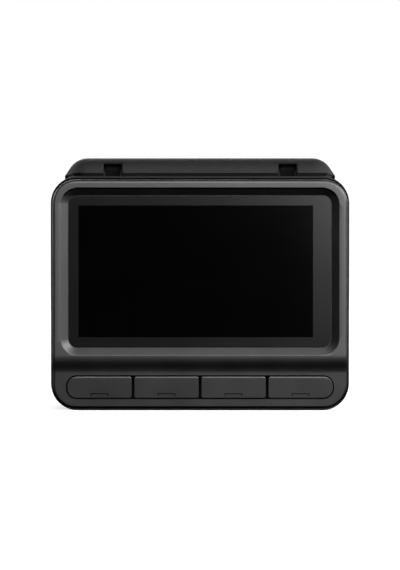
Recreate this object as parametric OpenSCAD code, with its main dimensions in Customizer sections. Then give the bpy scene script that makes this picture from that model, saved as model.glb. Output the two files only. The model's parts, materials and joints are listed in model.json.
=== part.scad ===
// Dash camera with a display and four keys on the driver's side, a lens on the road side,
// and a hinged adhesive mount that lies on the sloping top of the body.
// X runs across the display, +Y from the display towards the lens, +Z up, in millimetres.
// The origin is under the middle of the body, on the surface that it stands on.

/* [Body] */
// Width of the body across the display
body_w = 84.6; // [76:0.2:96]
// Flat frame between the display's sloping rim and each side of the body
frame_side = 2.9; // [2.6:0.1:4]
// Flat frame above the display's sloping rim
frame_top = 3.2; // [2.8:0.1:5]
// Depth of the body without the lens
body_d = 34; // [33:0.5:42]
// Corner radius of the outline, seen from the display side
corner_r = 7.6; // [6.5:0.1:9]
// Wall of both casing halves
wall = 1.6; // [1.3:0.1:1.8]
// Rounding of the road-side edges
front_r = 3; // [2.5:0.25:5]
// Depth of the rear shell
rear_d = 4.6; // [4.4:0.1:5.2]
// Rounding of the rear shell's outer edge
rear_r = 0.9; // [0.6:0.1:1.4]
// How far the rear shell stands in from the front housing's outline
rim_step = 0.9; // [0.6:0.1:1.1]
// Clearance between parts that fit in one another
fit_gap = 0.1; // [0.05:0.01:0.15]

/* [Display] */
// Black border left of the picture, above it and below it
border = 2.8; // [2.5:0.1:3.5]
// Black border right of the picture
border_right = 5.2; // [4:0.1:7]
// Corner radius of the cover glass
glass_r = 2.4; // [1.5:0.1:4]
// Thickness of the cover glass
glass_t = 0.9; // [0.7:0.1:1.1]
// How far the glass lies below the frame around it
glass_sink = 1.3; // [0.9:0.1:1.5]
// Width of the sloping rim around the glass
rim_slope_w = 2.2; // [1.5:0.1:2.4]
// Thickness of the display panel
panel_t = 2.3; // [1.8:0.1:2.4]

/* [Keys] */
// Number of keys in the row
key_count = 4; // [3:1:4]
// Distance of the keys' slot from each side of the body
slot_side = 4.35; // [4.1:0.05:8]
// Height of the slot that holds the keys
slot_h = 6.7; // [5.5:0.1:7]
// Corner radius of the slot
slot_r = 3; // [1.5:0.1:3.2]
// Gap between two keys
key_gap = 0.7; // [0.5:0.1:1]
// Gap between the keys and the slot
key_play = 0.3; // [0.2:0.05:0.4]
// How far a key stands out of its panel
key_proud = 0.5; // [0.3:0.1:0.8]
// Travel of a key
key_travel = 0.4; // [0.2:0.05:0.5]
// How far the key panel lies below the display frame
key_step = 1.8; // [1.2:0.1:2]
// Height of the rounded step between the key panel and the display frame
roll_h = 5.15; // [4:0.05:7]

/* [Mount] */
// Height of the mount's round back edge above the body
mount_rise = 5; // [4.6:0.1:6]
// Slope of the mount, from level
slope = 38; // [32:1:42]
// Length of the mount along its slope, from the hinge axis
mount_l = 28; // [25:0.5:29]
// How far the mount's flat upper face stands in from each side of the body
mount_side = 10.4; // [10.2:0.1:14]
// Radius that rounds the upper edges of the mount
mount_edge_r = 6; // [5:0.25:6]
// Lean of the mount's flanks below that rounding, from level
flank_angle = 56; // [50:1:64]
// Wall of the mount
mount_wall = 1.5; // [1.2:0.1:1.8]
// Thickness of the mount's cover
cover_t = 1.2; // [1.1:0.1:1.5]
// Distance of the hinge axis from the display side
hinge_back = 12.6; // [12.5:0.1:13.5]
// Gap between the moving mount and the body
mount_gap = 0.4; // [0.3:0.05:0.6]
// How far the middle of each hinge ear stands in from the end of the mount's flat face
ear_side = 7.1; // [6.5:0.1:12]
// Width of a hinge ear
ear_w = 4.2; // [3.5:0.1:5]
// Radius of a hinge ear
ear_r = 3; // [2.6:0.1:3.2]
// Radius of the hinge pins
pin_r = 1; // [0.8:0.05:1.2]
// Thickness of a friction washer
washer_t = 0.38; // [0.3:0.01:0.5]
// Thickness of the adhesive pad
pad_t = 1.1; // [0.8:0.1:1.5]

/* [Lens] */
// How far the lens ring stands out of the road side
lens_out = 6; // [5:0.25:8]
// Height of the lens's axis above the base
lens_z = 24; // [22:0.5:26]
// Outer radius of the lens ring
ring_r = 13.8; // [12.5:0.1:14.5]
// Outer radius of the lens barrel
barrel_out_r = 8.2; // [7.8:0.1:8.6]
// Radius of the front lens
front_lens_r = 6.9; // [6.4:0.1:7.1]

/* [Sockets] */
// Distance of the two cable sockets from each other
socket_pitch = 16; // [14:0.5:18]
// Width of the memory card
card_w = 11; // [10:0.5:12]

/* [Hidden] */
$fn = 72;
hull_fn = 32;
slice_t = 0.01;
eps = 0.1;
running_gap = 0.03;
seam = 0.02;

// Casing planes
half_body = body_w / 2;
rear_y = -(body_d + lens_out) / 2;
front_y = rear_y + body_d;
split_y = rear_y + rear_d;
inner_front_y = front_y - wall;
tongue_d = 1;
tongue_t = 0.9;
rim_in = wall + fit_gap + tongue_t;

// Display stack
glass_w = body_w - 2 * (frame_side + rim_slope_w);
picture_w = glass_w - border - border_right;
picture_h = picture_w * 9 / 16;
picture_x = (border - border_right) / 2;
glass_h = picture_h + 2 * border;
glass_gap = 0.15;
gasket_t = 0.2;
gasket_in = 0.1;
panel_edge = 1.2;
panel_gap = 0.3;
glass_shelf_t = 1.2;
glass_back_y = rear_y + glass_sink + glass_t;
plate_back_y = glass_back_y + gasket_t + glass_shelf_t;
foam_t = 0.4;
foam_in = 1;
foam_w = 4;

// Keys, the step above them and their board
lip = 0.6;
lip_gap = 0.12;
slot_w = body_w - 2 * slot_side;
slot_z = rim_in + lip_gap + lip + slot_h / 2;
key_y = rear_y + key_step;
key_face_y = key_y - key_proud;
key_edge_r = 0.5;
key_corner_r = 0.6;
key_row_w = slot_w - 2 * key_play;
key_w = (key_row_w - (key_count - 1) * key_gap) / key_count;
key_pitch = key_w + key_gap;
mark_w = 5;
mark_line = 0.25;
mark_leg = 0.45;
mark_depth = 0.15;
mark_up = 1.4;
slot_to_roll = 0.7;
roll_z0 = slot_z + slot_h / 2 + slot_to_roll;
roll_z1 = roll_z0 + roll_h;
flange_t = 0.9;
flange_gap = 0.05;
flange_y = plate_back_y + flange_gap;
stem_l = 1;
stem_r = 1.2;
nub_r = 0.9;
nub_l = 1;
nub_y = flange_y + flange_t + stem_l;
switch_y = nub_y + nub_l / 2;
switch_w = 3;
switch_t = 1.5;
key_board_y = switch_y + switch_t;
key_board_t = 0.8;
key_board_gap = 0.3;
key_board_h = 10.1;
key_board_z0 = rim_in + key_board_gap;
key_board_z1 = key_board_z0 + key_board_h;
post_r = 1;
post_z = key_board_z1 - post_r - 0.1;
key_screw_r = 0.5;
key_screw_l = 3;
key_head_h = 0.6;

// Heights that the display sets
glass_z = roll_z1 + rim_slope_w + glass_h / 2;
body_h = glass_z + glass_h / 2 + rim_slope_w + frame_top;

// Chassis plate behind the display
chassis_t = 1;
chassis_y = glass_back_y + panel_t + foam_t;
chassis_edge = 0.5;
chassis_z0 = key_board_z1 + 1;
chassis_z1 = body_h - rim_in - chassis_edge;
chassis_post_r = 1.3;
chassis_screw_r = 0.65;
chassis_screw_l = 2.6;
chassis_head_r = 1.3;
chassis_head_h = 0.8;
chassis_hole_up = 2;
chassis_hole_down = 6.5;
chassis_hole_z = [chassis_z0 + chassis_hole_up, chassis_z1 - chassis_hole_down];
chassis_hole_x = half_body - rim_in - chassis_edge - chassis_post_r - 0.6;

// Mount and hinge
axis_y = rear_y + hinge_back;
axis_z = body_h;
barrel_r = mount_rise;
trough_r = barrel_r + mount_gap;
plate_drop = cover_t + mount_gap;
barrel_turn = 110 + slope;
mount_top_w = body_w - 2 * mount_side;
half_top = mount_top_w / 2;
ear_x = half_top - ear_side;
washer_play = 0.05;
notch_w = ear_w + 2 * (washer_t + washer_play);
pocket_gap = 0.3;
pocket_r = ear_r + pocket_gap;
cheek_t = 1.9;
cheek_r = barrel_r - 0.8;
pin_l = notch_w + 2 * cheek_t - 0.8;
flank_x = mount_edge_r * sin(flank_angle);
flank_n = barrel_r - mount_edge_r + mount_edge_r * cos(flank_angle);
edge_w = flank_x + flank_n / tan(flank_angle);
plan_r = 4;
cavity_l = mount_l - edge_w - 0.6;
cover_t0 = cheek_r + 0.6;
mount_post_r = 2;
mount_screw_r = 0.8;
mount_screw_l = 2.4;
mount_head_r = 1.6;
mount_head_h = 0.6;
mount_screw_x = half_top - mount_post_r - 3;
mount_screw_t = [cover_t0 + 3.4, cavity_l - 2.6];
pad_in = 2.5;
pad_t0 = 1.2;
pad_r = 3;

// Screw tabs of the rear shell
tab_w = 4;
tab_d = 8;
tab_gap = 0.2;
tab_x = half_body - corner_r - tab_w / 2;
tab_screw_d = 6;
tab_screw_y = split_y + tab_screw_d;
tab_h = 5.4;
tab_z = wall + tab_gap;
case_screw_l = 5.5;
case_hole_r = 0.85;
case_head_r = 1.75;
case_head_h = 0.7;
sunk = 0.1;
screw_gap = 0.15;

// Main board
board_t = 1.2;
main_post_l = 3.5;
main_y = chassis_y + chassis_t + main_post_l;
main_side = 5.3;
main_w = body_w - 2 * main_side;
main_z0 = chassis_z0 + 1;
main_z1 = axis_z - trough_r - wall - 2;
main_front_y = main_y + board_t;
main_hole_in = 4;
main_hole_up = 3;
main_hole_x = main_w / 2 - main_hole_in;
main_hole_z = [main_z0 + main_hole_up, main_z1 - main_hole_up];
main_screw_r = 0.75;
main_screw_l = 4.2;
main_head_r = 1.5;
main_head_h = 0.9;
main_post_r = 1.8;

// Parts on the main board
shield_w = 20;
shield_h = 16;
shield_t = 1.6;
shield_down = 2;
shield_z = main_z1 - shield_h / 2 - shield_down;
thermal_t = 1;
thermal_in = 2;
sink_w = 25;
sink_base_t = 1.4;
sink_fins = 7;
fin_t = 1;
fin_h = 2.6;
memory_w = 9;
flash_w = 7;
power_w = 6;
radio_w = 5;
chip_t = 0.9;
chip_gap = 2;
radio_up = 8;
cap_r = 4;
cap_h = 12;
cap_gap = 0.6;
flex_t = 0.15;
flex_dip = 0.5;
display_flex_x = 3;
display_flex_w = 11;

// Lens stack; what ends in _at is measured from the road side of the body
boss_h = 2;
seal_t = 0.3;
ring_edge = 1.7;
ring_chamfer = 0.8;
bore_r = barrel_out_r + 2.2;
boss_r = ring_r + 1.7;
lens_gap = 0.05;
rim_at = 2.4;
front_lens_at = 3.2;
front_dome_r = 12;
front_bowl_r = 8;
retainer_w = 0.7;
retainer_h = 0.9;
seat_at = -0.2;
second_r = 5.15;
second_at = -3.2;
second_t = 2.3;
second_dome_r = 14;
third_r = 4.15;
third_at = -7;
third_t = 1.8;
third_dome_r = 11;
rear_lens_r = 3.35;
rear_lens_at = -10.4;
rear_lens_t = 3;
rear_dome_r = 9;
spacer_w = 0.6;
shoulder_at = -5;
neck_at = -6.5;
tail_at = -13;
holder_at = -12;
filter_at = -13.9;
filter_t = 0.3;
filter_w = 9.5;
thread_r = 6;
thread_wall = 1.7;
holder_w = 16;
holder_room = 11;
light_r = 4.2;
sensor_gap = 16;
sensor_y = front_y - sensor_gap - board_t;
sensor_w = 8.6;
sensor_h = 7.4;
sensor_t = 1.1;
sensor_board_w = 33;
sensor_board_h = 20;
sensor_post_x = 14.3;
sensor_post_r = 1.9;
sensor_hole_r = 0.8;
sensor_hole_l = 5;
sensor_screw_l = 4.4;
bore_wall_l = 6;
flex_w = 10;
flex_foot = 4;

// Speaker and microphone, each in the middle between the sensor's post and the side
speaker_r = 9;
speaker_t = 4;
speaker_rim_t = 1.6;
speaker_cup = 1.1;
speaker_cup_d = 2.6;
magnet_r = 6.8;
mesh_t = 0.3;
speaker_x = -(half_body - wall + sensor_post_x + sensor_post_r) / 2;
grille_r = 0.65;
grille_pitch = 2.7;
mic_x = -speaker_x;
mic_z = 11;
mic_r = 2;
mic_t = 1.6;
mic_hole_r = 0.6;

// Sockets, card and antennas
usb_w = 8.94;
usb_t = 3.26;
usb_l = 7.3;
usb_skin = 0.3;
usb_tongue_t = 0.7;
usb_back_t = 0.9;
usb_play = 0.3;
usb_y = main_front_y + usb_t / 2;
usb_up = 8;
usb_z = lens_z + usb_up;
card_l = 15;
card_t = 0.9;
card_cut = 2.5;
card_z = 40;
card_y = main_front_y + 1.1;
card_end_x = half_body - wall + 0.5;
card_play = 0.1;
card_mouth = 0.3;
card_socket_t = 2.2;
card_socket_l = 14;
card_socket_side = 1.6;
scoop_r = 2.2;
scoop_out = 1.2;
gps_w = 14;
gps_t = 2.6;
gps_board_t = 0.8;
gps_side = 2.9;
gps_down = 14.5;
wifi_l = 12;
wifi_h = 6;
wifi_t = 0.2;
wifi_up = 9;

// Vents
vent_h = 13;
vent_w = 1.3;
vent_pitch = 2.6;
vent_count = 4;
floor_vent_l = 9;
floor_vent_w = 1.5;
floor_vent_pitch = 5;
floor_vent_y = 3;

// ---------- shared shapes ----------

// A flat (x, z) shape made solid from y0 to y1.
module along_y(y0, y1) {
    translate([0, y1, 0]) rotate([90, 0, 0]) linear_extrude(y1 - y0) children();
}

// A flat (y, z) shape made solid along X, centred on x = 0.
module along_x(length) {
    rotate([90, 0, 90]) linear_extrude(length, center = true) children();
}

module round_rect(w, h, r) {
    square([w - 2 * r, h], center = true);
    square([w, h - 2 * r], center = true);
    for (x = [-1, 1], z = [-1, 1]) translate([x * (w / 2 - r), z * (h / 2 - r)]) circle(r);
}

// A long hole with round ends, w wide; its corners are a hair less than half circles.
module slot(w, h) {
    round_rect(w, h, w / 2 - 0.01);
}

// A round bar along Y between y0 and y1, at (x, z).
module rod_y(x, z, r, y0, y1) {
    translate([x, y1, z]) rotate([90, 0, 0]) cylinder(r = r, h = y1 - y0);
}

// A round bar along X, centred on x, at (y, z).
module rod_x(x, y, z, r, length) {
    translate([x, y, z]) rotate([0, 90, 0]) cylinder(r = r, h = length, center = true);
}

// A block between two opposite corners.
module block(lo, hi) {
    translate(lo) cube(hi - lo);
}

// Four thin corner discs of a rounded outline at depth y, for a hull.
module corner_discs(y, half_w, z0, z1, r, x0 = 0) {
    for (x = [-1, 1], z = [z0 + r, z1 - r])
        translate([x0 + x * (half_w - r), y, z])
            rotate([90, 0, 0]) cylinder(r = r, h = slice_t, $fn = hull_fn);
}

// A solid of revolution about a line along Y through (0, lens_z); its profile is (radius, y).
module lens_turned() {
    translate([0, 0, lens_z]) rotate([-90, 0, 0]) rotate_extrude() children();
}

// A screw along -Y whose head rests on y: head towards +Y.
module screw_y(x, z, y, head_r, head_h, shank_r, length) {
    rod_y(x, z, head_r, y, y + head_h);
    rod_y(x, z, shank_r, y - length, y);
}

// ---------- outline of the front housing ----------

slope_start_y = axis_y - plate_drop / sin(slope);
front_c = front_y - front_r;
front_top_z = slope_z(front_c + front_r * sin(slope)) - front_r * cos(slope);

// Height of the slope's plane at depth y.
function slope_z(y) = axis_z - plate_drop / cos(slope) - (y - axis_y) * tan(slope);

// The outline taken in by g: where its slope starts, its top, and its inset from the sides.
function start_y(g) = slope_start_y - g * tan(slope / 2);
function turn_r(g) = max(0.2, front_r - g);
function top_z(y, g) =
    y <= start_y(g) ? body_h - g
    : y <= front_c + turn_r(g) * sin(slope) ? slope_z(y) - g / cos(slope)
    : front_top_z + sqrt(max(0, pow(turn_r(g), 2) - pow(y - front_c, 2)));
function side_in(y, g) =
    y <= front_c ? g : g + turn_r(g) - sqrt(max(0, pow(turn_r(g), 2) - pow(y - front_c, 2)));
function slice_depths(g, y0) = concat(
    [y0 + slice_t, start_y(g), front_c],
    [for (a = [15, 30, slope, 50, 65, 78, 90]) front_c + turn_r(g) * sin(a)]);

module casing(g, y0) {
    hull() for (y = slice_depths(g, y0))
        corner_discs(y, half_body - side_in(y, g), side_in(y, g), top_z(y, g),
                     max(0.3, corner_r - side_in(y, g)));
}

// ---------- outline of the mount ----------

// Points of the mount's rounded edge, from its flank to its flat upper face at flat_w.
function edge_turn(flat_w, grow) = [
    for (i = [0 : 8]) let (a = flank_angle * (1 - i / 8), r = mount_edge_r + grow)
        [flat_w + r * sin(a), barrel_r - mount_edge_r + r * cos(a)]];

// Flat (across, height) outline of the whole mount.
module whole_outline(grow = 0) {
    foot = half_top + edge_w + grow / sin(flank_angle);
    turn = edge_turn(half_top, grow);
    polygon(concat([[-foot, 0], [foot, 0]], turn, [for (i = [8 : -1 : 0]) [-turn[i][0], turn[i][1]]]));
}

// Sweeps the mount's outline about the hinge axis, from angle a0 through a degrees.
module barrel_sweep(a0, a, grow = 0) {
    rotate([90, 0, 90]) rotate([0, 0, a0]) rotate_extrude(angle = a)
        rotate([0, 0, 90]) mirror([0, 1]) whole_outline(grow);
}

// The mount's own frame: Y runs down its slope from the hinge axis, Z out of its upper face.
module on_slope() {
    translate([0, axis_y, axis_z]) rotate([-slope, 0, 0]) children();
}

// Plan of the mount from t0 to its road-side end.
module mount_plan(t0) {
    r = plan_r + edge_w;
    half_w = half_top + edge_w;
    translate([-half_w, t0]) square([2 * half_w, mount_l - r - t0]);
    translate([-half_w + r, t0]) square([2 * (half_w - r), mount_l - t0]);
    for (x = [-1, 1]) translate([x * (half_w - r), mount_l - r]) circle(r);
}

// ---------- casing ----------

module hinge_ears() {
    for (x = [-ear_x, ear_x]) difference() {
        union() {
            rod_x(x, axis_y, axis_z, ear_r, ear_w);
            translate([x - ear_w / 2, axis_y - ear_r, axis_z - trough_r - wall / 2])
                cube([ear_w, 2 * ear_r, trough_r + wall / 2]);
        }
        rod_x(x, axis_y, axis_z, pin_r + running_gap, ear_w + 1);
    }
}

module speaker_holes() {
    for (i = [-2 : 2], j = [-2 : 2])
        if (abs(i + j) <= 2)
            rod_y(speaker_x + (i + j / 2) * grille_pitch, lens_z + j * grille_pitch * sin(60), grille_r,
                  inner_front_y - eps, front_y + eps);
}

module side_vents() {
    for (s = [-1, 1], i = [0 : vent_count - 1])
        translate([s * (body_w - wall) / 2, front_c - 2 - i * vent_pitch, lens_z])
            along_x(wall + 1) slot(vent_w, vent_h);
}

module floor_vents() {
    for (i = [-3 : 3]) translate([i * floor_vent_pitch, floor_vent_y, wall / 2])
        linear_extrude(wall + 1, center = true) slot(floor_vent_w, floor_vent_l);
}

module usb_hole(z) {
    translate([-half_body, usb_y, z]) rotate([90, 0, 90])
        linear_extrude(4 * wall, center = true) slot(usb_t + 2 * usb_play, usb_w + 2 * usb_play);
}

module card_hole() {
    block([half_body - 2 * wall, card_y - card_t / 2 - card_mouth, card_z - card_w / 2 - card_mouth],
          [half_body + eps, card_y + card_t / 2 + card_mouth, card_z + card_w / 2 + card_mouth]);
    // scoop for a finger nail
    translate([half_body + scoop_out, card_y, card_z])
        cylinder(r = scoop_r, h = card_w / 2, center = true);
}

module front_housing() color("#26272a") {
    difference() {
        union() {
            difference() {
                casing(0, split_y);
                difference() {
                    casing(wall, split_y - eps);
                    rod_x(0, axis_y, axis_z, trough_r + wall, body_w);
                }
                translate([0, axis_y, axis_z]) barrel_sweep(0, 360, mount_gap);
            }
            hinge_ears();
            rod_y(0, lens_z, boss_r, inner_front_y, front_y + boss_h);
            rod_y(0, lens_z, bore_r + wall, front_y - bore_wall_l, front_y);
            for (x = [-1, 1])
                rod_y(x * sensor_post_x, lens_z, sensor_post_r, front_y - sensor_gap, inner_front_y + eps);
            rod_y(speaker_x, lens_z, speaker_r + speaker_cup, inner_front_y - speaker_cup_d,
                  inner_front_y + eps);
        }
        rod_y(0, lens_z, bore_r, front_y - bore_wall_l - 1, front_y + boss_h + eps);
        for (x = [-1, 1])
            rod_y(x * sensor_post_x, lens_z, sensor_hole_r, front_y - sensor_gap - eps,
                  front_y - sensor_gap + sensor_hole_l);
        rod_y(speaker_x, lens_z, speaker_r + fit_gap, inner_front_y - speaker_cup_d - eps, inner_front_y);
        speaker_holes();
        rod_y(mic_x, mic_z, mic_hole_r, inner_front_y - eps, front_y + eps);
        side_vents();
        floor_vents();
        for (s = [-1, 1]) usb_hole(usb_z + s * socket_pitch / 2);
        card_hole();
        for (x = [-1, 1]) translate([x * tab_x, tab_screw_y, 0]) {
            translate([0, 0, -eps]) cylinder(r = case_hole_r + screw_gap, h = wall + 1);
            translate([0, 0, -eps])
                cylinder(r = case_head_r + screw_gap, h = sunk + case_head_h + eps);
        }
    }
}

// Flat (y, z) shape of all that is cut away outside the roll between display frame and key panel.
module roll_cut() {
    steps = 16;
    polygon(concat(
        [[rear_y - 2, -1], [key_y, -1]],
        [for (i = [0 : steps])
            [key_y - key_step * (1 - cos(180 * i / steps)) / 2, roll_z0 + (roll_z1 - roll_z0) * i / steps]],
        [[rear_y - 2, roll_z1]]));
}

module rear_slice(y, inset) {
    corner_discs(y, half_body - inset, inset, body_h - inset, corner_r - inset);
}

module rear_block() {
    hull() {
        for (a = [0, 22, 45, 68, 90])
            rear_slice(rear_y + rear_r * (1 - sin(a)) + slice_t, rim_step + rear_r * (1 - cos(a)));
        rear_slice(split_y, rim_step);
    }
}

module key_slot(grow = 0) {
    translate([0, slot_z]) round_rect(slot_w + 2 * grow, slot_h + 2 * grow, slot_r + grow);
}

module inner_rim(inset) {
    translate([0, body_h / 2])
        round_rect(body_w - 2 * inset, body_h - 2 * inset, max(0.5, corner_r - inset));
}

module panel_window(grow = 0) {
    edge = panel_edge + grow;
    translate([picture_x, glass_z]) square([picture_w + 2 * edge, picture_h + 2 * edge], center = true);
}

module glass_plan(grow = 0) {
    translate([0, glass_z]) round_rect(glass_w + 2 * grow, glass_h + 2 * grow, glass_r + grow);
}

module rear_shell() color("#232427") {
    difference() {
        union() {
            difference() {
                rear_block();
                along_x(body_w) roll_cut();
                along_y(plate_back_y, split_y + eps) inner_rim(rim_in);
            }
            along_y(split_y, split_y + tongue_d) difference() {
                inner_rim(wall + fit_gap);
                inner_rim(rim_in);
            }
            for (x = [-1, 1]) {
                for (z = chassis_hole_z)
                    rod_y(x * chassis_hole_x, z, chassis_post_r, plate_back_y - eps, chassis_y);
                block([x * tab_x - tab_w / 2, split_y - 0.5, tab_z],
                      [x * tab_x + tab_w / 2, split_y + tab_d, rim_in]);
                block([x * tab_x - tab_w / 2, flange_y + flange_t + key_travel + tab_gap, tab_z],
                      [x * tab_x + tab_w / 2, split_y + tab_d, tab_z + tab_h]);
            }
            for (x = [-1, 0, 1])
                rod_y(x * key_pitch, post_z, post_r, plate_back_y - eps, key_board_y);
        }
        // sloping rim, glass pocket and window
        hull() {
            corner_discs(rear_y, glass_w / 2 + rim_slope_w, glass_z - glass_h / 2 - rim_slope_w,
                         glass_z + glass_h / 2 + rim_slope_w, glass_r + rim_slope_w);
            corner_discs(rear_y + glass_sink, glass_w / 2 + glass_gap, glass_z - glass_h / 2 - glass_gap,
                         glass_z + glass_h / 2 + glass_gap, glass_r + glass_gap);
        }
        along_y(rear_y + glass_sink - eps, glass_back_y + gasket_t) glass_plan(glass_gap);
        along_y(rear_y, split_y) panel_window(panel_gap);
        along_y(rear_y, plate_back_y + eps) key_slot();
        for (x = [-1, 1]) {
            for (z = chassis_hole_z)
                rod_y(x * chassis_hole_x, z, chassis_screw_r, plate_back_y - 0.9, chassis_y + eps);
            translate([x * tab_x, tab_screw_y, 0]) cylinder(r = case_hole_r, h = case_screw_l + 0.5);
        }
        for (x = [-1, 0, 1])
            rod_y(x * key_pitch, post_z, key_screw_r, plate_back_y + 0.6, key_board_y + eps);
    }
}

module case_screws() color("#3c3d40") {
    for (x = [-1, 1]) translate([x * tab_x, tab_screw_y, 0]) {
        translate([0, 0, sunk]) cylinder(r = case_head_r, h = case_head_h);
        translate([0, 0, sunk]) cylinder(r = case_hole_r, h = case_screw_l);
    }
}

// ---------- display ----------

module display_glass() color("#0b0b0d") {
    along_y(rear_y + glass_sink, glass_back_y) glass_plan();
}

module display_gasket() color("#151515") {
    along_y(glass_back_y, glass_back_y + gasket_t) difference() {
        glass_plan(-gasket_in);
        panel_window(panel_gap);
    }
}

module display_panel() color("#303338") {
    along_y(glass_back_y, glass_back_y + panel_t) panel_window();
}

module display_foam() color("#1d1d1f") {
    along_y(glass_back_y + panel_t, chassis_y) difference() {
        panel_window(-foam_in);
        panel_window(-foam_in - foam_w);
    }
}

module display_flex() color("#b5672a") {
    x0 = display_flex_x;
    x1 = x0 + display_flex_w;
    y0 = glass_back_y + panel_t - flex_dip;
    z0 = chassis_z0 - flex_dip;
    z1 = glass_z - picture_h / 2 - panel_edge;
    block([x0, y0, z0], [x1, y0 + flex_t, z1]);
    block([x0, y0, z0], [x1, main_y, z0 + flex_t]);
    block([x0, main_y - flex_t, z0], [x1, main_y, main_z0 + flex_foot]);
}

// ---------- chassis and boards ----------

module chassis_plate() color("#9a9da1") {
    half_w = half_body - rim_in - chassis_edge;
    difference() {
        union() {
            along_y(chassis_y, chassis_y + chassis_t)
                intersection() {
                    inner_rim(rim_in + chassis_edge);
                    translate([0, (chassis_z0 + chassis_z1) / 2])
                        round_rect(2 * half_w, chassis_z1 - chassis_z0, 0.5);
                }
            for (x = [-1, 1], z = main_hole_z)
                rod_y(x * main_hole_x, z, main_post_r, chassis_y + chassis_t - eps, main_y);
        }
        for (x = [-1, 1]) {
            for (z = chassis_hole_z)
                rod_y(x * chassis_hole_x, z, chassis_screw_r + screw_gap, chassis_y - eps,
                      chassis_y + chassis_t + eps);
            for (z = main_hole_z) rod_y(x * main_hole_x, z, main_screw_r, chassis_y - eps, main_y + eps);
        }
    }
}

module chassis_screws() color("#8a8c90") {
    for (x = [-1, 1], z = chassis_hole_z)
        screw_y(x * chassis_hole_x, z, chassis_y + chassis_t, chassis_head_r, chassis_head_h,
                chassis_screw_r, chassis_screw_l);
}

module main_board() color("#1f5a38") {
    difference() {
        along_y(main_y, main_front_y)
            translate([0, (main_z0 + main_z1) / 2]) round_rect(main_w, main_z1 - main_z0, 1.5);
        for (x = [-1, 1], z = main_hole_z)
            rod_y(x * main_hole_x, z, main_screw_r + screw_gap, main_y - eps, main_front_y + eps);
    }
}

module board_screws() color("#8a8c90") {
    for (x = [-1, 1], z = main_hole_z)
        screw_y(x * main_hole_x, z, main_front_y, main_head_r, main_head_h, main_screw_r, main_screw_l);
}

module processor_shield() color("#b9bcc0") {
    translate([0, 0, shield_z]) block([-shield_w / 2, main_front_y, -shield_h / 2],
                                      [shield_w / 2, main_front_y + shield_t, shield_h / 2]);
}

module thermal_pad() color("#6e7f93") {
    y0 = main_front_y + shield_t;
    half_w = shield_w / 2 - thermal_in;
    half_h = shield_h / 2 - thermal_in;
    translate([0, 0, shield_z]) block([-half_w, y0, -half_h], [half_w, y0 + thermal_t, half_h]);
}

module heat_sink() color("#a7abb0") {
    y0 = main_front_y + shield_t + thermal_t;
    y1 = y0 + sink_base_t;
    half_h = shield_h / 2;
    translate([-sink_w / 2, 0, shield_z]) {
        block([0, y0, -half_h], [sink_w, y1, half_h]);
        for (i = [0 : sink_fins - 1]) translate([i * (sink_w - fin_t) / (sink_fins - 1), 0, 0])
            block([0, y1 - eps, -half_h], [fin_t, y1 + fin_h, half_h]);
    }
}

module board_chips() color("#17181a") {
    beside_shield = shield_w / 2 + chip_gap;
    // memory, flash, sound, power and radio chips: centre x, centre z and width
    chips = [[-beside_shield - memory_w / 2, shield_z + 3, memory_w],
             [-beside_shield - memory_w / 2, shield_z + 1 - memory_w / 2 - flash_w / 2 - chip_gap, flash_w],
             [beside_shield + flash_w / 2, shield_z + 4, flash_w],
             [-main_hole_x + main_head_r + chip_gap + power_w / 2, main_z0 + power_w, power_w],
             [radio_w / 2 + 3 * chip_gap, main_z0 + radio_up, radio_w]];
    for (c = chips) block([c[0] - c[2] / 2, main_front_y, c[1] - c[2] / 2],
                          [c[0] + c[2] / 2, main_front_y + chip_t, c[1] + c[2] / 2]);
}

module supercapacitors() color("#2c4a7c") {
    for (x = [0, 2 * cap_r + cap_gap])
        translate([sensor_board_w / 2 + cap_r + 1.5 + x, main_front_y + cap_r, main_hole_z[0] + 2])
            cylinder(r = cap_r, h = cap_h);
}

module button_board() color("#1f5a38") {
    half_w = switch_x(key_count - 1) + switch_w / 2 + 0.2;
    difference() {
        block([-half_w, key_board_y, key_board_z0], [half_w, key_board_y + key_board_t, key_board_z1]);
        for (x = [-1, 0, 1])
            rod_y(x * key_pitch, post_z, key_screw_r + 0.1, key_board_y - eps,
                  key_board_y + key_board_t + eps);
    }
}

module button_board_screws() color("#8a8c90") {
    for (x = [-1, 0, 1])
        screw_y(x * key_pitch, post_z, key_board_y + key_board_t, post_r, key_head_h, key_screw_r,
                key_screw_l);
}

// ---------- keys ----------

function key_x(i) = (i - (key_count - 1) / 2) * key_pitch;
switch_reach = tab_x - tab_w / 2 - 0.5 - switch_w / 2;
function switch_x(i) = max(-switch_reach, min(switch_reach, key_x(i)));

module tact_switches() color("#c9cbce") {
    for (i = [0 : key_count - 1]) difference() {
        translate([switch_x(i), 0, slot_z])
            block([-switch_w / 2, switch_y, -switch_w / 2], [switch_w / 2, key_board_y, switch_w / 2]);
        rod_y(switch_x(i), slot_z, nub_r + 0.05, switch_y - eps, switch_y + nub_l / 2 + key_travel + 0.1);
    }
}

module nub(i) color("#e9e9e6") {
    rod_y(switch_x(i), slot_z, nub_r, nub_y, nub_y + nub_l);
}

// Flat (x, z) plan of one key's cap; the outer ends of the row are round.
module key_plan(i) {
    half_w = key_w / 2;
    half_h = slot_h / 2 - key_play;
    left_r = i == 0 ? slot_r - key_play : key_corner_r;
    right_r = i == key_count - 1 ? slot_r - key_play : key_corner_r;
    translate([key_x(i), slot_z]) {
        translate([-half_w + left_r, -half_h]) square([key_w - left_r - right_r, 2 * half_h]);
        for (side = [[-1, left_r], [1, right_r]]) {
            r = side[1];
            translate([side[0] * (half_w - r), 0]) square([2 * r, 2 * (half_h - r)], center = true);
            for (v = [-1, 1]) translate([side[0] * (half_w - r), v * (half_h - r)]) circle(r);
        }
    }
}

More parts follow.
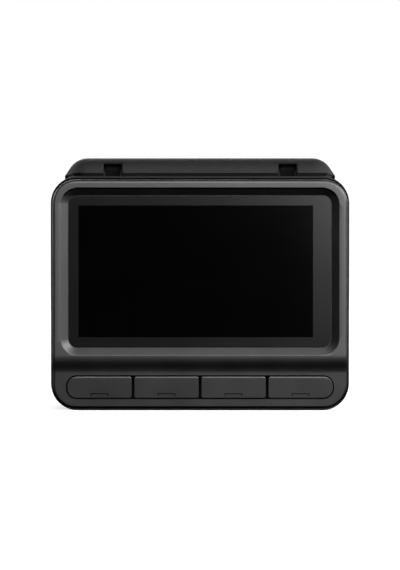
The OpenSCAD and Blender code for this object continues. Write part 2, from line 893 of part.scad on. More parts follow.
// Flat (across, y) shape that rounds the cap's face edge, a little wider than the cap itself.
module key_edge(half_w) {
    half = half_w + 0.02;
    turn = [for (a = [0 : 22.5 : 90])
        [half - key_edge_r * (1 - cos(a)), key_face_y + key_edge_r * (1 - sin(a))]];
    for (m = [0, 1]) mirror([m, 0]) polygon(concat([[-eps, flange_y + 1], [half, flange_y + 1]], turn,
                                                   [[-eps, key_face_y]]));
}

module key(i) color("#242528") {
    left = key_x(i) - key_w / 2 - (i == 0 ? lip + key_play : -eps);
    right = key_x(i) + key_w / 2 + (i == key_count - 1 ? lip + key_play : -eps);
    difference() {
        intersection() {
            along_y(key_face_y, flange_y + flange_t / 2) key_plan(i);
            translate([key_x(i), 0, 0]) linear_extrude(slot_z + slot_h) key_edge(key_w / 2);
            translate([key_x(i), 0, slot_z]) rotate([0, 90, 0])
                linear_extrude(key_w + 1, center = true) key_edge(slot_h / 2 - key_play);
        }
        // mark pressed into the cap
        translate([key_x(i), key_face_y, slot_z - slot_h / 2 + mark_up]) {
            block([-mark_w / 2, -eps, 0], [mark_w / 2, mark_depth, mark_line]);
            for (x = [-mark_w / 2, mark_w / 2 - mark_line])
                block([x, -eps, -mark_leg], [x + mark_line, mark_depth, mark_line]);
        }
    }
    along_y(flange_y, flange_y + flange_t) intersection() {
        translate([left, slot_z - slot_h / 2 - lip]) square([right - left, slot_h + 2 * lip]);
        inner_rim(rim_in + lip_gap);
    }
    rod_y(switch_x(i), slot_z, stem_r, flange_y + flange_t - eps, nub_y);
}

// ---------- sound, sockets, card and antennas ----------

module speaker_mesh() color("#55585c") {
    rod_y(speaker_x, lens_z, speaker_r, inner_front_y - mesh_t, inner_front_y);
}

module speaker() color("#2a2b2e") {
    y1 = inner_front_y - mesh_t;
    rod_y(speaker_x, lens_z, speaker_r, y1 - speaker_rim_t, y1);
    rod_y(speaker_x, lens_z, magnet_r, y1 - speaker_t, y1 - speaker_rim_t + eps);
}

module microphone() color("#c4a15a") {
    rod_y(mic_x, mic_z, mic_r, inner_front_y - mic_t, inner_front_y);
}

module usb_socket(z) {
    translate([-half_body + wall / 2, usb_y, z]) rotate([90, 0, 90]) difference() {
        linear_extrude(usb_l) slot(usb_t, usb_w);
        translate([0, 0, -eps]) linear_extrude(usb_l - usb_back_t) difference() {
            slot(usb_t - 2 * usb_skin, usb_w - 2 * usb_skin);
            square([usb_tongue_t, usb_w - 4 * usb_skin - 1.2], center = true);
        }
    }
}

module power_socket() color("#c3c6ca") {
    usb_socket(usb_z + socket_pitch / 2);
}

module rear_camera_socket() color("#c3c6ca") {
    usb_socket(usb_z - socket_pitch / 2);
}

module card_socket() color("#c3c6ca") {
    x1 = half_body - wall - 0.5;
    half_h = card_w / 2 + card_socket_side;
    difference() {
        block([x1 - card_socket_l, main_front_y, card_z - half_h],
              [x1, main_front_y + card_socket_t, card_z + half_h]);
        block([card_end_x - card_l - 0.8, card_y - card_t / 2 - card_play, card_z - card_w / 2 - card_play],
              [x1 + eps, card_y + card_t / 2 + card_play, card_z + card_w / 2 + card_play]);
    }
}

module memory_card() color("#1b1c20") {
    // the inner corner is cut off so that the card goes in one way round
    x0 = card_end_x - card_l;
    half_h = card_w / 2;
    translate([0, card_y + card_t / 2, card_z]) rotate([90, 0, 0]) linear_extrude(card_t)
        polygon([[x0, -half_h], [card_end_x, -half_h], [card_end_x, half_h],
                 [x0 + card_cut, half_h], [x0, half_h - card_cut]]);
}

module gps_antenna() color("#a9825c") {
    half = gps_w / 2;
    n0 = -plate_drop - wall;
    n1 = n0 - gps_t;
    on_slope() translate([-half_top + half + gps_side, gps_down, 0]) {
        block([-half, -half, n1], [half, half, n0]);
        block([-half - 1, -half - 1, n1 - gps_board_t], [half + 1, half + 1, n1]);
    }
}

module wifi_antenna() color("#b98a3c") {
    x1 = half_body - wall;
    z0 = lens_z + wifi_up;
    block([x1 - wifi_t, -wifi_l / 2, z0], [x1, wifi_l / 2, z0 + wifi_h]);
}

// ---------- lens ----------

module lens_ring() color("#4a4c50") {
    base = front_y + boss_h + seal_t;
    tip = front_y + lens_out;
    foot = front_y - boss_h;
    mouth_r = ring_r - ring_edge;
    throat_r = barrel_out_r + fit_gap;
    neck_r = bore_r - lens_gap;
    lens_turned() polygon([[throat_r, foot], [neck_r, foot], [neck_r, base], [ring_r, base],
                           [ring_r, tip - ring_chamfer], [ring_r - ring_chamfer, tip], [mouth_r, tip],
                           [throat_r, front_y + rim_at + 1]]);
}

module lens_seal() color("#101010") {
    lens_turned() translate([bore_r + 0.2, front_y + boss_h]) square([ring_r - bore_r - 0.6, seal_t]);
}

module lens_barrel() color("#141416") {
    front_hole_r = front_lens_r + lens_gap;
    second_hole_r = second_r + lens_gap;
    third_hole_r = third_r + lens_gap;
    rear_hole_r = rear_lens_r + lens_gap;
    lens_turned() translate([0, front_y]) polygon([
        [front_hole_r, rim_at], [barrel_out_r, rim_at], [barrel_out_r, shoulder_at],
        [thread_r, shoulder_at], [thread_r, tail_at], [rear_hole_r, tail_at], [rear_hole_r, third_at],
        [third_hole_r, third_at], [third_hole_r, second_at], [second_hole_r, second_at],
        [second_hole_r, seat_at], [front_hole_r, seat_at]]);
}

module lens_retainer() color("#1c1c1f") {
    lens_turned() translate([front_lens_r - retainer_w, front_y + rim_at - retainer_h])
        square([retainer_w - seam, retainer_h]);
}

module front_lens() color("#5d6f8f") {
    lens_turned() translate([0, front_y]) difference() {
        intersection() {
            translate([0, front_lens_at - front_dome_r]) circle(front_dome_r);
            translate([0, seat_at]) square([front_lens_r, front_lens_at]);
        }
        translate([0, seat_at - sqrt(pow(front_bowl_r, 2) - pow(second_r, 2))]) circle(front_bowl_r);
    }
}

module disc_lens(r, y0, y1, dome_r) {
    lens_turned() translate([0, front_y]) intersection() {
        translate([0, y0]) square([r, y1 - y0]);
        translate([0, y1 - dome_r]) circle(dome_r);
    }
}

module inner_lenses() color("#6f86a8") {
    disc_lens(second_r, second_at, second_at + second_t, second_dome_r);
    disc_lens(third_r, third_at, third_at + third_t, third_dome_r);
    disc_lens(rear_lens_r, rear_lens_at, rear_lens_at + rear_lens_t, rear_dome_r);
}

module lens_spacers() color("#202022") {
    lens_turned() translate([0, front_y]) {
        translate([second_r - spacer_w, second_at + second_t])
            square([spacer_w, seat_at - second_at - second_t - lens_gap]);
        translate([third_r - spacer_w, third_at + third_t])
            square([spacer_w, second_at - third_at - third_t - lens_gap]);
    }
}

module lens_holder() color("#18181a") {
    difference() {
        union() {
            translate([0, 0, lens_z])
                block([-holder_w / 2, front_y - sensor_gap, -holder_w / 2],
                      [holder_w / 2, front_y + holder_at, holder_w / 2]);
            rod_y(0, lens_z, thread_r + thread_wall, front_y + holder_at - 0.5, front_y + neck_at);
        }
        rod_y(0, lens_z, thread_r + seam, front_y + tail_at - 0.1, front_y);
        rod_y(0, lens_z, light_r, front_y + filter_at, front_y + tail_at);
        translate([0, 0, lens_z])
            block([-holder_room / 2, front_y - sensor_gap - eps, -holder_room / 2],
                  [holder_room / 2, front_y + filter_at + filter_t, holder_room / 2]);
    }
}

module infrared_filter() color("#5b8f86") {
    y0 = front_y + filter_at;
    translate([0, 0, lens_z])
        block([-filter_w / 2, y0, -filter_w / 2], [filter_w / 2, y0 + filter_t, filter_w / 2]);
}

module image_sensor() color("#28323c") {
    y0 = front_y - sensor_gap;
    translate([0, 0, lens_z])
        block([-sensor_w / 2, y0, -sensor_h / 2], [sensor_w / 2, y0 + sensor_t, sensor_h / 2]);
}

module sensor_board() color("#1f5a38") {
    difference() {
        translate([0, 0, lens_z]) block([-sensor_board_w / 2, sensor_y, -sensor_board_h / 2],
                                        [sensor_board_w / 2, sensor_y + board_t, sensor_board_h / 2]);
        for (x = [-1, 1])
            rod_y(x * sensor_post_x, lens_z, sensor_hole_r + 0.1, sensor_y - eps, sensor_y + board_t + eps);
    }
}

module sensor_screws() color("#8a8c90") {
    for (x = [-1, 1]) {
        rod_y(x * sensor_post_x, lens_z, 2 * sensor_hole_r, sensor_y - main_head_h, sensor_y);
        rod_y(x * sensor_post_x, lens_z, sensor_hole_r, sensor_y, sensor_y + board_t + sensor_screw_l);
    }
}

module sensor_flex() color("#b5672a") {
    half_w = flex_w / 2;
    z0 = lens_z - sensor_board_h / 2 + 1;
    block([-half_w, sensor_y - flex_t, z0], [half_w, sensor_y, z0 + flex_foot]);
    block([-half_w, main_front_y, z0], [half_w, sensor_y, z0 + flex_t]);
    block([-half_w, main_front_y, z0], [half_w, main_front_y + flex_t, z0 + flex_foot]);
}

// ---------- mount ----------

// Room for an ear in the mount's barrel, open towards the display side and below.
module ear_pocket(x) {
    far = -barrel_r - 1;
    corner = pocket_r * tan(22.5);
    rotate([slope, 0, 0]) translate([x, 0, 0]) along_x(notch_w)
        polygon([[far, far], [pocket_r, far], [pocket_r, corner], [corner, pocket_r], [far, pocket_r]]);
}

// Solid plate of the mount. It starts just inside the barrel and is a hair lower, so that their faces cross.
module mount_plate() {
    levels = concat([[half_top + edge_w, 0]], edge_turn(half_top, 0));
    hull() for (level = levels, x = [-1, 1]) {
        half_w = level[0] - seam;
        r = plan_r + half_w - half_top;
        front = mount_l - edge_w - half_top + half_w;
        translate([x * (half_w - r), front - r, max(0, level[1] - seam)])
            cylinder(r = r, h = slice_t, $fn = hull_fn);
        translate([x * (half_w - 0.5) - 0.5, -10 * seam, max(0, level[1] - seam)]) cube([1, 1, slice_t]);
    }
}

module mount_shell() color("#2b2c2f") {
    on_slope() difference() {
        union() {
            difference() {
                union() {
                    barrel_sweep(90, barrel_turn);
                    mount_plate();
                }
                rod_x(0, 0, 0, barrel_r - mount_wall, mount_top_w);
                block([-half_top + seam, 0, -barrel_r],
                      [half_top - seam, cavity_l, barrel_r - mount_wall - seam]);
            }
            for (x = [-ear_x, ear_x]) rod_x(x, 0, 0, cheek_r, notch_w + 2 * cheek_t);
            for (x = [-1, 1], t = mount_screw_t)
                translate([x * mount_screw_x, t, 0])
                    cylinder(r = mount_post_r, h = barrel_r - mount_wall + eps);
        }
        for (x = [-ear_x, ear_x]) {
            ear_pocket(x);
            rod_x(x, 0, 0, pin_r, pin_l);
        }
        for (x = [-1, 1], t = mount_screw_t)
            translate([x * mount_screw_x, t, -eps]) cylinder(r = mount_screw_r, h = mount_screw_l + 0.6);
    }
}

module mount_cover() color("#242528") {
    on_slope() difference() {
        translate([0, 0, -cover_t]) linear_extrude(cover_t) mount_plan(cover_t0);
        for (x = [-1, 1], t = mount_screw_t) translate([x * mount_screw_x, t, 0]) {
            translate([0, 0, -cover_t - eps]) cylinder(r = mount_screw_r + 0.1, h = cover_t + 2 * eps);
            translate([0, 0, -cover_t - eps])
                cylinder(r = mount_head_r + 0.1, h = sunk + mount_head_h + eps);
        }
    }
}

module mount_screws() color("#8a8c90") {
    on_slope() for (x = [-1, 1], t = mount_screw_t) translate([x * mount_screw_x, t, 0]) {
        translate([0, 0, sunk - cover_t]) cylinder(r = mount_head_r, h = mount_head_h);
        translate([0, 0, sunk - cover_t]) cylinder(r = mount_screw_r, h = cover_t + mount_screw_l);
    }
}

module adhesive_pad() color("#3a3a3c") {
    on_slope() translate([0, (pad_t0 + cavity_l) / 2, barrel_r])
        linear_extrude(pad_t) round_rect(mount_top_w - 2 * pad_in, cavity_l - pad_t0, pad_r);
}

module hinge_pins() color("#b4b6ba") {
    for (x = [-ear_x, ear_x]) rod_x(x, axis_y, axis_z, pin_r, pin_l);
}

module friction_washers() color("#0e0e0f") {
    for (x = [-ear_x, ear_x], s = [-1, 1])
        difference() {
            washer_x = x + s * (ear_w + washer_t + washer_play) / 2;
            rod_x(washer_x, axis_y, axis_z, ear_r - 0.5, washer_t);
            rod_x(washer_x, axis_y, axis_z, pin_r + running_gap, washer_t + 1);
        }
}

// ---------- nodes ----------

front_housing();
rear_shell();
case_screws();
display_glass();
display_gasket();
display_panel();
display_flex();
display_foam();
chassis_plate();
chassis_screws();
main_board();
board_screws();
processor_shield();
board_chips();
thermal_pad();
heat_sink();
supercapacitors();
button_board();
button_board_screws();
tact_switches();
speaker();
speaker_mesh();
microphone();
power_socket();
rear_camera_socket();
card_socket();
memory_card();
gps_antenna();
wifi_antenna();
lens_ring();
lens_seal();
lens_barrel();
lens_retainer();
front_lens();
inner_lenses();
lens_spacers();
lens_holder();
infrared_filter();
image_sensor();
sensor_board();
sensor_screws();
sensor_flex();
key(0);  // left_end_key
key(1);  // left_middle_key
key(2);  // right_middle_key
key(3);  // right_end_key
nub(0);  // left_end_nub
nub(1);  // left_middle_nub
nub(2);  // right_middle_nub
nub(3);  // right_end_nub
mount_shell();
mount_cover();
mount_screws();
adhesive_pad();
hinge_pins();
friction_washers();
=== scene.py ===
# %% [markdown]
# # Dash camera, dressed for the render
# A dash camera has a display and four keys for the driver, a lens for the road, and a hinged mount
# that sticks to the windscreen. The CAD model gives every size and place. This lesson builds the
# moulded shells, the glass and the lens on it, one piece at a time, and gives each a finish. It
# starts from an empty scene, so that nothing of Blender's start-up file is left among the pieces.

# %% Load the packed model
import json
import math

import bmesh
import bpy
from mathutils import Matrix, Vector

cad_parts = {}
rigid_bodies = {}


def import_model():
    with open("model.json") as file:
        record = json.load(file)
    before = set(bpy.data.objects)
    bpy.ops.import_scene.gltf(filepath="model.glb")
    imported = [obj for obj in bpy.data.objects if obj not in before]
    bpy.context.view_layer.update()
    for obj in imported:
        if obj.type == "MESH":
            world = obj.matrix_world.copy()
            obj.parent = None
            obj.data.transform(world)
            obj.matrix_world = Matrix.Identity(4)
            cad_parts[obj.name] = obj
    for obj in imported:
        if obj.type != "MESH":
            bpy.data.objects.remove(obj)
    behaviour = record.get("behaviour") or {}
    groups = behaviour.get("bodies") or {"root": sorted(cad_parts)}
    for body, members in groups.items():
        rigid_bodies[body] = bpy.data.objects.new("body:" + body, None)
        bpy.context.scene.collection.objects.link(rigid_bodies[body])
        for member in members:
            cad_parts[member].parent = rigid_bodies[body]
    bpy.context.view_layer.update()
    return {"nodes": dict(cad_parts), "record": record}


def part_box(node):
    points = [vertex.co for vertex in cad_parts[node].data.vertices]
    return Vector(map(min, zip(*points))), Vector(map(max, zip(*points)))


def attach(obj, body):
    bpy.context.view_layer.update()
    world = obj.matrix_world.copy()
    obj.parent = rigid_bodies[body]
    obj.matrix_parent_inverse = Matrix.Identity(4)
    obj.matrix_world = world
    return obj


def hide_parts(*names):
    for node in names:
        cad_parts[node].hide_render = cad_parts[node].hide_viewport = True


for start_object in list(bpy.data.objects):
    bpy.data.objects.remove(start_object)
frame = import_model()
print("nodes in the frame:", len(frame["nodes"]))

# %% [markdown]
# ## Sizes
# Blender works in metres, but moulded parts are drawn in millimetres, so the helpers take
# millimetres and scale once, when a mesh is made. Places come from the boxes of the CAD nodes. What
# a box can't tell, such as a wall or a rounding, is named here, as it is in the part's source.

# %% Sizes of the casing, in millimetres
MM = 0.001


def box_mm(node):
    """Lowest and highest corner of a CAD node, in millimetres."""
    low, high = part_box(node)
    return [v / MM for v in low], [v / MM for v in high]


shell_low, shell_high = box_mm("rear_shell")
housing_low, housing_high = box_mm("front_housing")
glass_low, glass_high = box_mm("display_glass")
key_low, key_high = box_mm("left_end_key")
pin_low, pin_high = box_mm("hinge_pins")
half_body = housing_high[0]
rim_step = half_body - shell_high[0]
body_h = shell_high[2] + rim_step
rear_y = shell_low[1]
split_y = housing_low[1]
boss_h = 2
front_y = housing_high[1] - boss_h
corner_r = 7.6
wall = 1.6
front_r = 3
rear_r = 0.9
glass_y = glass_low[1]
glass_t = glass_high[1] - glass_low[1]
glass_half_w = glass_high[0]
glass_r = 2.4
glass_gap = 0.15
rim_slope_w = 2.2
slot_r = 3
key_play = 0.3
lip = 0.6
print("body, mm:", round(2 * half_body, 2), "x", round(front_y - rear_y, 2), "x", round(body_h, 2))

# %% [markdown]
# The keys stand in a slot of the lower panel, and the mount turns about an axis above the body. The
# places of both could be typed in, but they are worked out from the boxes of the keys and of the
# hinge pins, so the skin stays on the CAD model if that changes.

# %% Sizes of the keys, the hinge and the mount
key_step = 1.8
key_proud = 0.5
key_lean = math.tan(math.radians(4))
slot_low_z = key_low[2] + lip
slot_high_z = key_high[2] - lip
slot_z = (slot_low_z + slot_high_z) / 2
slot_half_w = -key_low[0] - lip
key_y = rear_y + key_step
glass_z = (glass_low[2] + glass_high[2]) / 2
glass_half_h = (glass_high[2] - glass_low[2]) / 2
roll_z1 = glass_z - glass_half_h - rim_slope_w
roll_z0 = slot_high_z + 0.7
slope = math.radians(38)
axis_y = (pin_low[1] + pin_high[1]) / 2
axis_z = (pin_low[2] + pin_high[2]) / 2
barrel_r = 5
mount_gap = 0.4
print("key slot, mm:", round(2 * slot_half_w, 2), "hinge axis:", round(axis_y, 2), round(axis_z, 2))

# %% [markdown]
# ## Sheets, lofts and cuts
# A moulded shell is mostly one rounded outline, repeated at several depths. Each outline is a ring of
# points, and a loft joins ring to ring. A Bevel modifier could round the edges too, but it chooses
# its own faces; with rings, all of the same number of points, rounded edges stay clean strips of
# quads. Pockets and holes are then cut with the exact boolean, as the real mould's cores leave them.

# %% Helpers that make meshes
def mesh_piece(name, points, faces):
    """A closed mesh from points in millimetres; its faces are turned to point outwards."""
    mesh = bpy.data.meshes.new(name)
    mesh.from_pydata([Vector(p) * MM for p in points], [], faces)
    shape = bmesh.new()
    shape.from_mesh(mesh)
    bmesh.ops.remove_doubles(shape, verts=shape.verts, dist=0.0005 * MM)
    bmesh.ops.dissolve_degenerate(shape, edges=shape.edges, dist=0.0002 * MM)
    bmesh.ops.recalc_face_normals(shape, faces=shape.faces)
    shape.to_mesh(mesh)
    shape.free()
    piece = bpy.data.objects.new(name, mesh)
    bpy.context.scene.collection.objects.link(piece)
    return piece


def ring_faces(a, b, count):
    """Faces between two rings of points, which start at index a and index b."""
    return [(a + k, a + (k + 1) % count, b + (k + 1) % count, b + k) for k in range(count)]


def sheet_faces(first, rows, across):
    """Faces of a grid of points, stored row by row from a first index."""
    starts = [first + i * across + j for i in range(rows - 1) for j in range(across - 1)]
    return [(a, a + 1, a + across + 1, a + across) for a in starts]


def loft(name, rings, closed=False):
    """Joins rings of equal length; the two ends are filled, or joined to each other if closed."""
    count = len(rings[0])
    points = [p for ring in rings for p in ring]
    faces = []
    for i in range(len(rings) if closed else len(rings) - 1):
        faces += ring_faces(i * count, (i + 1) % len(rings) * count, count)
    if not closed:
        faces += [tuple(range(count)), tuple(range(len(points) - count, len(points)))]
    return mesh_piece(name, points, faces)


print("mesh makers ready")

# %% [markdown]
# A cut is a Boolean modifier, and its result replaces the mesh at once, so that the next cut starts
# from plain faces. Smooth shading would smear light over flat faces; it is broken at sharp edges, and
# weighted normals keep the broad faces flat while the narrow ones between them carry the rounding.

# %% Helpers that change meshes
def evaluated_mesh(piece):
    """The mesh of a piece after its modifiers, as plain data."""
    depsgraph = bpy.context.evaluated_depsgraph_get()
    return bpy.data.meshes.new_from_object(piece.evaluated_get(depsgraph))


def settle(piece):
    """Replaces a piece's mesh by what its modifiers make of it, and removes them."""
    mesh = evaluated_mesh(piece)
    piece.modifiers.clear()
    piece.data = mesh
    return piece


def boolean(piece, tools, operation="DIFFERENCE"):
    """Cuts the tools out of a piece, or joins them to it, and deletes them."""
    for tool in tools:
        modifier = piece.modifiers.new("cut", "BOOLEAN")
        modifier.operation = operation
        modifier.solver = "EXACT"
        modifier.object = tool
        settle(piece)
        bpy.data.objects.remove(tool)
    return piece


def smooth(piece, angle=32):
    """Smooth shading, broken at edges sharper than the angle; flat faces keep their own normal."""
    sharp = math.radians(angle)
    shape = bmesh.new()
    shape.from_mesh(piece.data)
    bmesh.ops.remove_doubles(shape, verts=shape.verts, dist=0.0002 * MM)
    for face in shape.faces:
        face.smooth = True
    for edge in shape.edges:
        if len(edge.link_faces) == 2:
            edge.smooth = edge.calc_face_angle(0) < sharp
    shape.to_mesh(piece.data)
    shape.free()
    modifier = piece.modifiers.new("weights", "WEIGHTED_NORMAL")
    modifier.keep_sharp = True
    modifier.weight = 100
    return settle(piece)


def fan(start, end, steps):
    """Evenly spaced values from start to end, both included."""
    return [start + (end - start) * i / steps for i in range(steps + 1)]


print("cutting and shading helpers ready")

# %% [markdown]
# Nearly every outline here is made of straight runs and parts of circles. One function makes the
# part of a circle, and rounded rectangles, discs and lathe profiles are written with it. Curve
# objects could do the same, but plain lists of points can be measured, mirrored and inset at once.

# %% Rounded outlines
def arc(r, start, end, steps, centre=(0, 0)):
    """Points round a part of a circle, from one angle in degrees to another."""
    turns = [math.radians(a) for a in fan(start, end, steps)]
    return [(centre[0] + r * math.cos(a), centre[1] + r * math.sin(a)) for a in turns]


def rounding(r, start, end, steps):
    """Steps round an edge of radius r, as pairs: how far it is taken in, and how far it lies back."""
    return [(r - x, r - y) for x, y in arc(r, start, end, steps)]


def rounded(half_w, low, high, r, x0=0, steps=12):
    """Points (x, z) round a rounded rectangle, from its lower left corner and along its lower edge."""
    points = []
    for side, z, turn in ((-1, low + r, 180), (1, low + r, 270), (1, high - r, 0), (-1, high - r, 90)):
        points += arc(r, turn, turn + 90, steps, (x0 + side * (half_w - r), z))
    return points


def ring_at(y, outline):
    """An outline (x, z) set at depth y."""
    return [(x, y, z) for x, z in outline]


def prism(name, outline, y0, y1):
    """An outline (x, z) made solid between two depths."""
    return loft(name, [ring_at(y0, outline), ring_at(y1, outline)])


def bar_x(name, outline, x0, x1):
    """An outline (y, z) made solid along X."""
    return loft(name, [[(x, y, z) for y, z in outline] for x in (x0, x1)])


def disc(r, steps=48, centre=(0, 0)):
    """Points round a circle."""
    return arc(r, 0, 360, steps, centre)[:-1]


def lathe(name, profile, x=0, z=0, steps=96, closed=True):
    """Turns a profile of (radius, y) about a line along Y through (x, z)."""
    rings = [[(px, y, pz) for px, pz in disc(r, steps, (x, z))] for r, y in profile]
    return loft(name, rings, closed=closed)


print("points in a rounded outline:", len(rounded(10, 0, 10, 2)))

# %% [markdown]
# ## The rear frame
# The driver sees a satin frame round the display. Its face is flat beside the glass, slopes down to
# the glass all round, and rolls back below it to the lower panel that holds the keys. The face is
# a grid whose rows lie close together where it rolls, and the outer rings of that same grid make the
# rounded edge and the side walls.

# %% The roll below the display
roll_tilts = (4, 12, 20, 27, 33, 29, 22, 14, 9, 4, 0)
roll_rises = [math.tan(math.radians(a)) for a in roll_tilts]
roll_steps = [(a + b) / 2 for a, b in zip(roll_rises, roll_rises[1:])]
roll_depths = [0]
for step in roll_steps:
    roll_depths.append(roll_depths[-1] + step * key_step / sum(roll_steps))


def roll_y(z):
    """Depth of the face at height z: flat above, rolling in below the display, leaning at the keys."""
    f = min(1, max(0, (z - roll_z0) / (roll_z1 - roll_z0))) * len(roll_steps)
    i = min(int(f), len(roll_steps) - 1)
    t0, t1 = roll_tilts[i], roll_tilts[i + 1]
    t = f - i
    ease = (t0 * t + (t1 - t0) * t * t / 2) / max(0.001, (t0 + t1) / 2)
    depth = roll_depths[i] + (roll_depths[i + 1] - roll_depths[i]) * ease
    return key_y + key_lean * max(0, roll_z0 - z) - depth


print("depth of the face below and above the roll:", [round(roll_y(z), 2) for z in (roll_z0, roll_z1)])

# %% [markdown]
# The face of the frame is not flat, so one big face won't do for it. Rows of points, each with its
# own half width, can follow both the rounded outline and the roll of the face. The ring round such a
# grid has the same points as its rim, so the walls join it without a seam.

# %% Rows, rings and grids
def outline_rows(half_w, low, high, r, side_z, steps=10):
    """Half width and height of each row of a rounded rectangle, from its lower to its upper edge."""
    low_turn = arc(r, -90, 0, steps, (half_w - r, low + r))
    high_turn = arc(r, 0, 90, steps, (half_w - r, high - r))
    return low_turn + [(half_w, z) for z in side_z] + high_turn


columns = fan(-1, 1, 24)


def grid_ring(rows, depth):
    """The rim of a grid of rows, as a ring of points; depth gives y from z."""
    low, high = rows[0], rows[-1]
    ring = [(low[0] * t, low[1]) for t in columns] + [(w, z) for w, z in rows[1:]]
    ring += [(high[0] * t, high[1]) for t in columns[-2::-1]] + [(-w, z) for w, z in rows[-2:0:-1]]
    return [(x, depth(z), z) for x, z in ring]


def grid_shell(name, stack):
    """A closed solid from a stack of (rows, depth): rings all round, and a grid over each end."""
    rings = [grid_ring(rows, depth) for rows, depth in stack]
    count = len(rings[0])
    points = [p for ring in rings for p in ring]
    faces = []
    for i in range(len(rings) - 1):
        faces += ring_faces(i * count, (i + 1) * count, count)
    for rows, depth in (stack[0], stack[-1]):
        faces += sheet_faces(len(points), len(rows), len(columns))
        points += [(w * t, depth(z), z) for w, z in rows for t in columns]
    return mesh_piece(name, points, faces)


print("columns of a grid:", len(columns))

# %% [markdown]
# The block is that grid laid on the roll, with the same outline at the parting plane behind it. In
# between, a few rings turn the edge. Its sides stand a little inside the housing's, as on the real
# body, where the frame's rim is set back so that a small mismatch doesn't show.

# %% The solid block of the rear frame
foot_share = 0.45
side_step = 0.5


def frame_rows(inset):
    """Rows of the rear frame's outline taken in by an inset, close together where the face rolls."""
    side_z = fan(roll_z0 - 0.6, roll_z1 + 0.6, 28) + fan(roll_z1 + 3, body_h - corner_r - 1.5, 10)
    turned = inset - rim_step
    return outline_rows(half_body - side_step - turned, rim_step + turned * foot_share,
                        body_h - inset, corner_r - inset, side_z)


def frame_block():
    """The solid block of the rear frame, before anything is cut from it."""
    stack = [(frame_rows(rim_step), lambda _: split_y)]
    for inset, rise in rounding(rear_r, 0, 90, 8):
        stack.append((frame_rows(rim_step + inset), lambda z, rise=rise: roll_y(z) + rise))
    return grid_shell("rear_frame", stack)


rear_frame = frame_block()
print("faces in the rear frame's block:", len(rear_frame.data.polygons))

# %% [markdown]
# The display pocket could be modelled into the grid, but a cutter is simpler, and its outline is the
# same as that of the glass it makes room for. It has a wide mouth, the slope down to the glass and
# the pocket that holds the glass, with a small break at each edge. The key slot gets a small lead.

# %% The cutter of the display pocket
panel_low, panel_high = box_mm("display_panel")
chassis_low, chassis_high = box_mm("chassis_screws")
key_screw_low, key_screw_high = box_mm("button_board_screws")
rim_in = 2.6
plate_y = glass_high[1] + 1.4
sink = glass_y - rear_y


def glass_outline(grow, steps=16):
    """Outline of the cover glass, grown on all sides."""
    return rounded(glass_half_w + grow, glass_low[2] - grow, glass_high[2] + grow, glass_r + grow,
                   steps=steps)


def slope_in(depth):
    """How far the sloping rim stands outside the glass at a depth below the frame's face."""
    return rim_slope_w + (glass_gap - rim_slope_w) * depth / sink


def display_cutter():
    """Everything that is open in front of and behind the cover glass."""
    steps = [(-1, rim_slope_w + 4), (0, rim_slope_w + 0.08), (0.04, slope_in(0.04)),
             (sink - 0.05, slope_in(sink - 0.05)), (sink, glass_gap), (sink + glass_t + 0.2, glass_gap)]
    rings = [ring_at(rear_y + depth, glass_outline(grow)) for depth, grow in steps]
    return loft("display_cutter", rings)


print("glass lies below the frame by, mm:", round(sink, 2))

# %% [markdown]
# Behind the glass the frame has a window for the panel, and below it the slot for the keys; the rest
# of its inside is hollow down to a thin plate. Each of them is an outline made solid, so four cutters
# and one call are enough.

# %% Cut the pocket, the window, the key slot and the inside
def window_cutter():
    """The window in the frame for the display panel."""
    half_w = (panel_high[0] - panel_low[0]) / 2 + 0.3
    middle = (panel_high[0] + panel_low[0]) / 2
    outline = rounded(half_w, panel_low[2] - 0.3, panel_high[2] + 0.3, 0.5, x0=middle, steps=4)
    return prism("window_cutter", outline, rear_y, split_y)


def slot_outline(grow):
    """Outline of the slot that holds the keys, grown on all sides."""
    return rounded(slot_half_w + grow, slot_low_z - grow, slot_high_z + grow, slot_r + grow, steps=16)


def slot_cutter():
    """The key slot, with a small lead at its mouth."""
    steps = [(-0.8, 1.2), (0, 0.1), (0.12, 0.02), (0.3, 0), (plate_y - key_y + 0.1, 0)]
    return loft("slot_cutter", [ring_at(key_y + depth, slot_outline(grow)) for depth, grow in steps])


def rim_outline(inset, steps=10):
    """Outline of the body taken in by an inset."""
    return rounded(half_body - inset, inset, body_h - inset, corner_r - inset, steps=steps)


boolean(rear_frame, [display_cutter(), window_cutter(), slot_cutter(),
                     prism("cavity", rim_outline(rim_in), plate_y, split_y + 1)])
print("rear frame after its cuts:", len(rear_frame.data.polygons), "faces")

# %% [markdown]
# Behind its face the frame has a tongue that plugs into the front housing, and posts for the screws
# of the chassis and the key board. They overlap the frame a little and are only joined to its mesh:
# a union would cost time and show no difference.

# %% Join the tongue and the screw posts to the rear frame
def tube(name, outer, inner, y0, y1):
    """A wall between two outlines of equal length, from y0 to y1."""
    rings = [ring_at(y0, outer), ring_at(y1, outer), ring_at(y1, inner), ring_at(y0, inner)]
    return loft(name, rings, closed=True)


def post(x, z, r, hole_r, y0, y1):
    """A round screw post along Y."""
    return tube("post", disc(r, 24, (x, z)), disc(hole_r, 24, (x, z)), y0, y1)


def joined(name, parts):
    """One object from several closed meshes."""
    shape = bmesh.new()
    for part in parts:
        shape.from_mesh(part.data)
    mesh = bpy.data.meshes.new(name)
    shape.to_mesh(mesh)
    shape.free()
    for part in parts:
        bpy.data.objects.remove(part)
    piece = bpy.data.objects.new(name, mesh)
    bpy.context.scene.collection.objects.link(piece)
    return piece


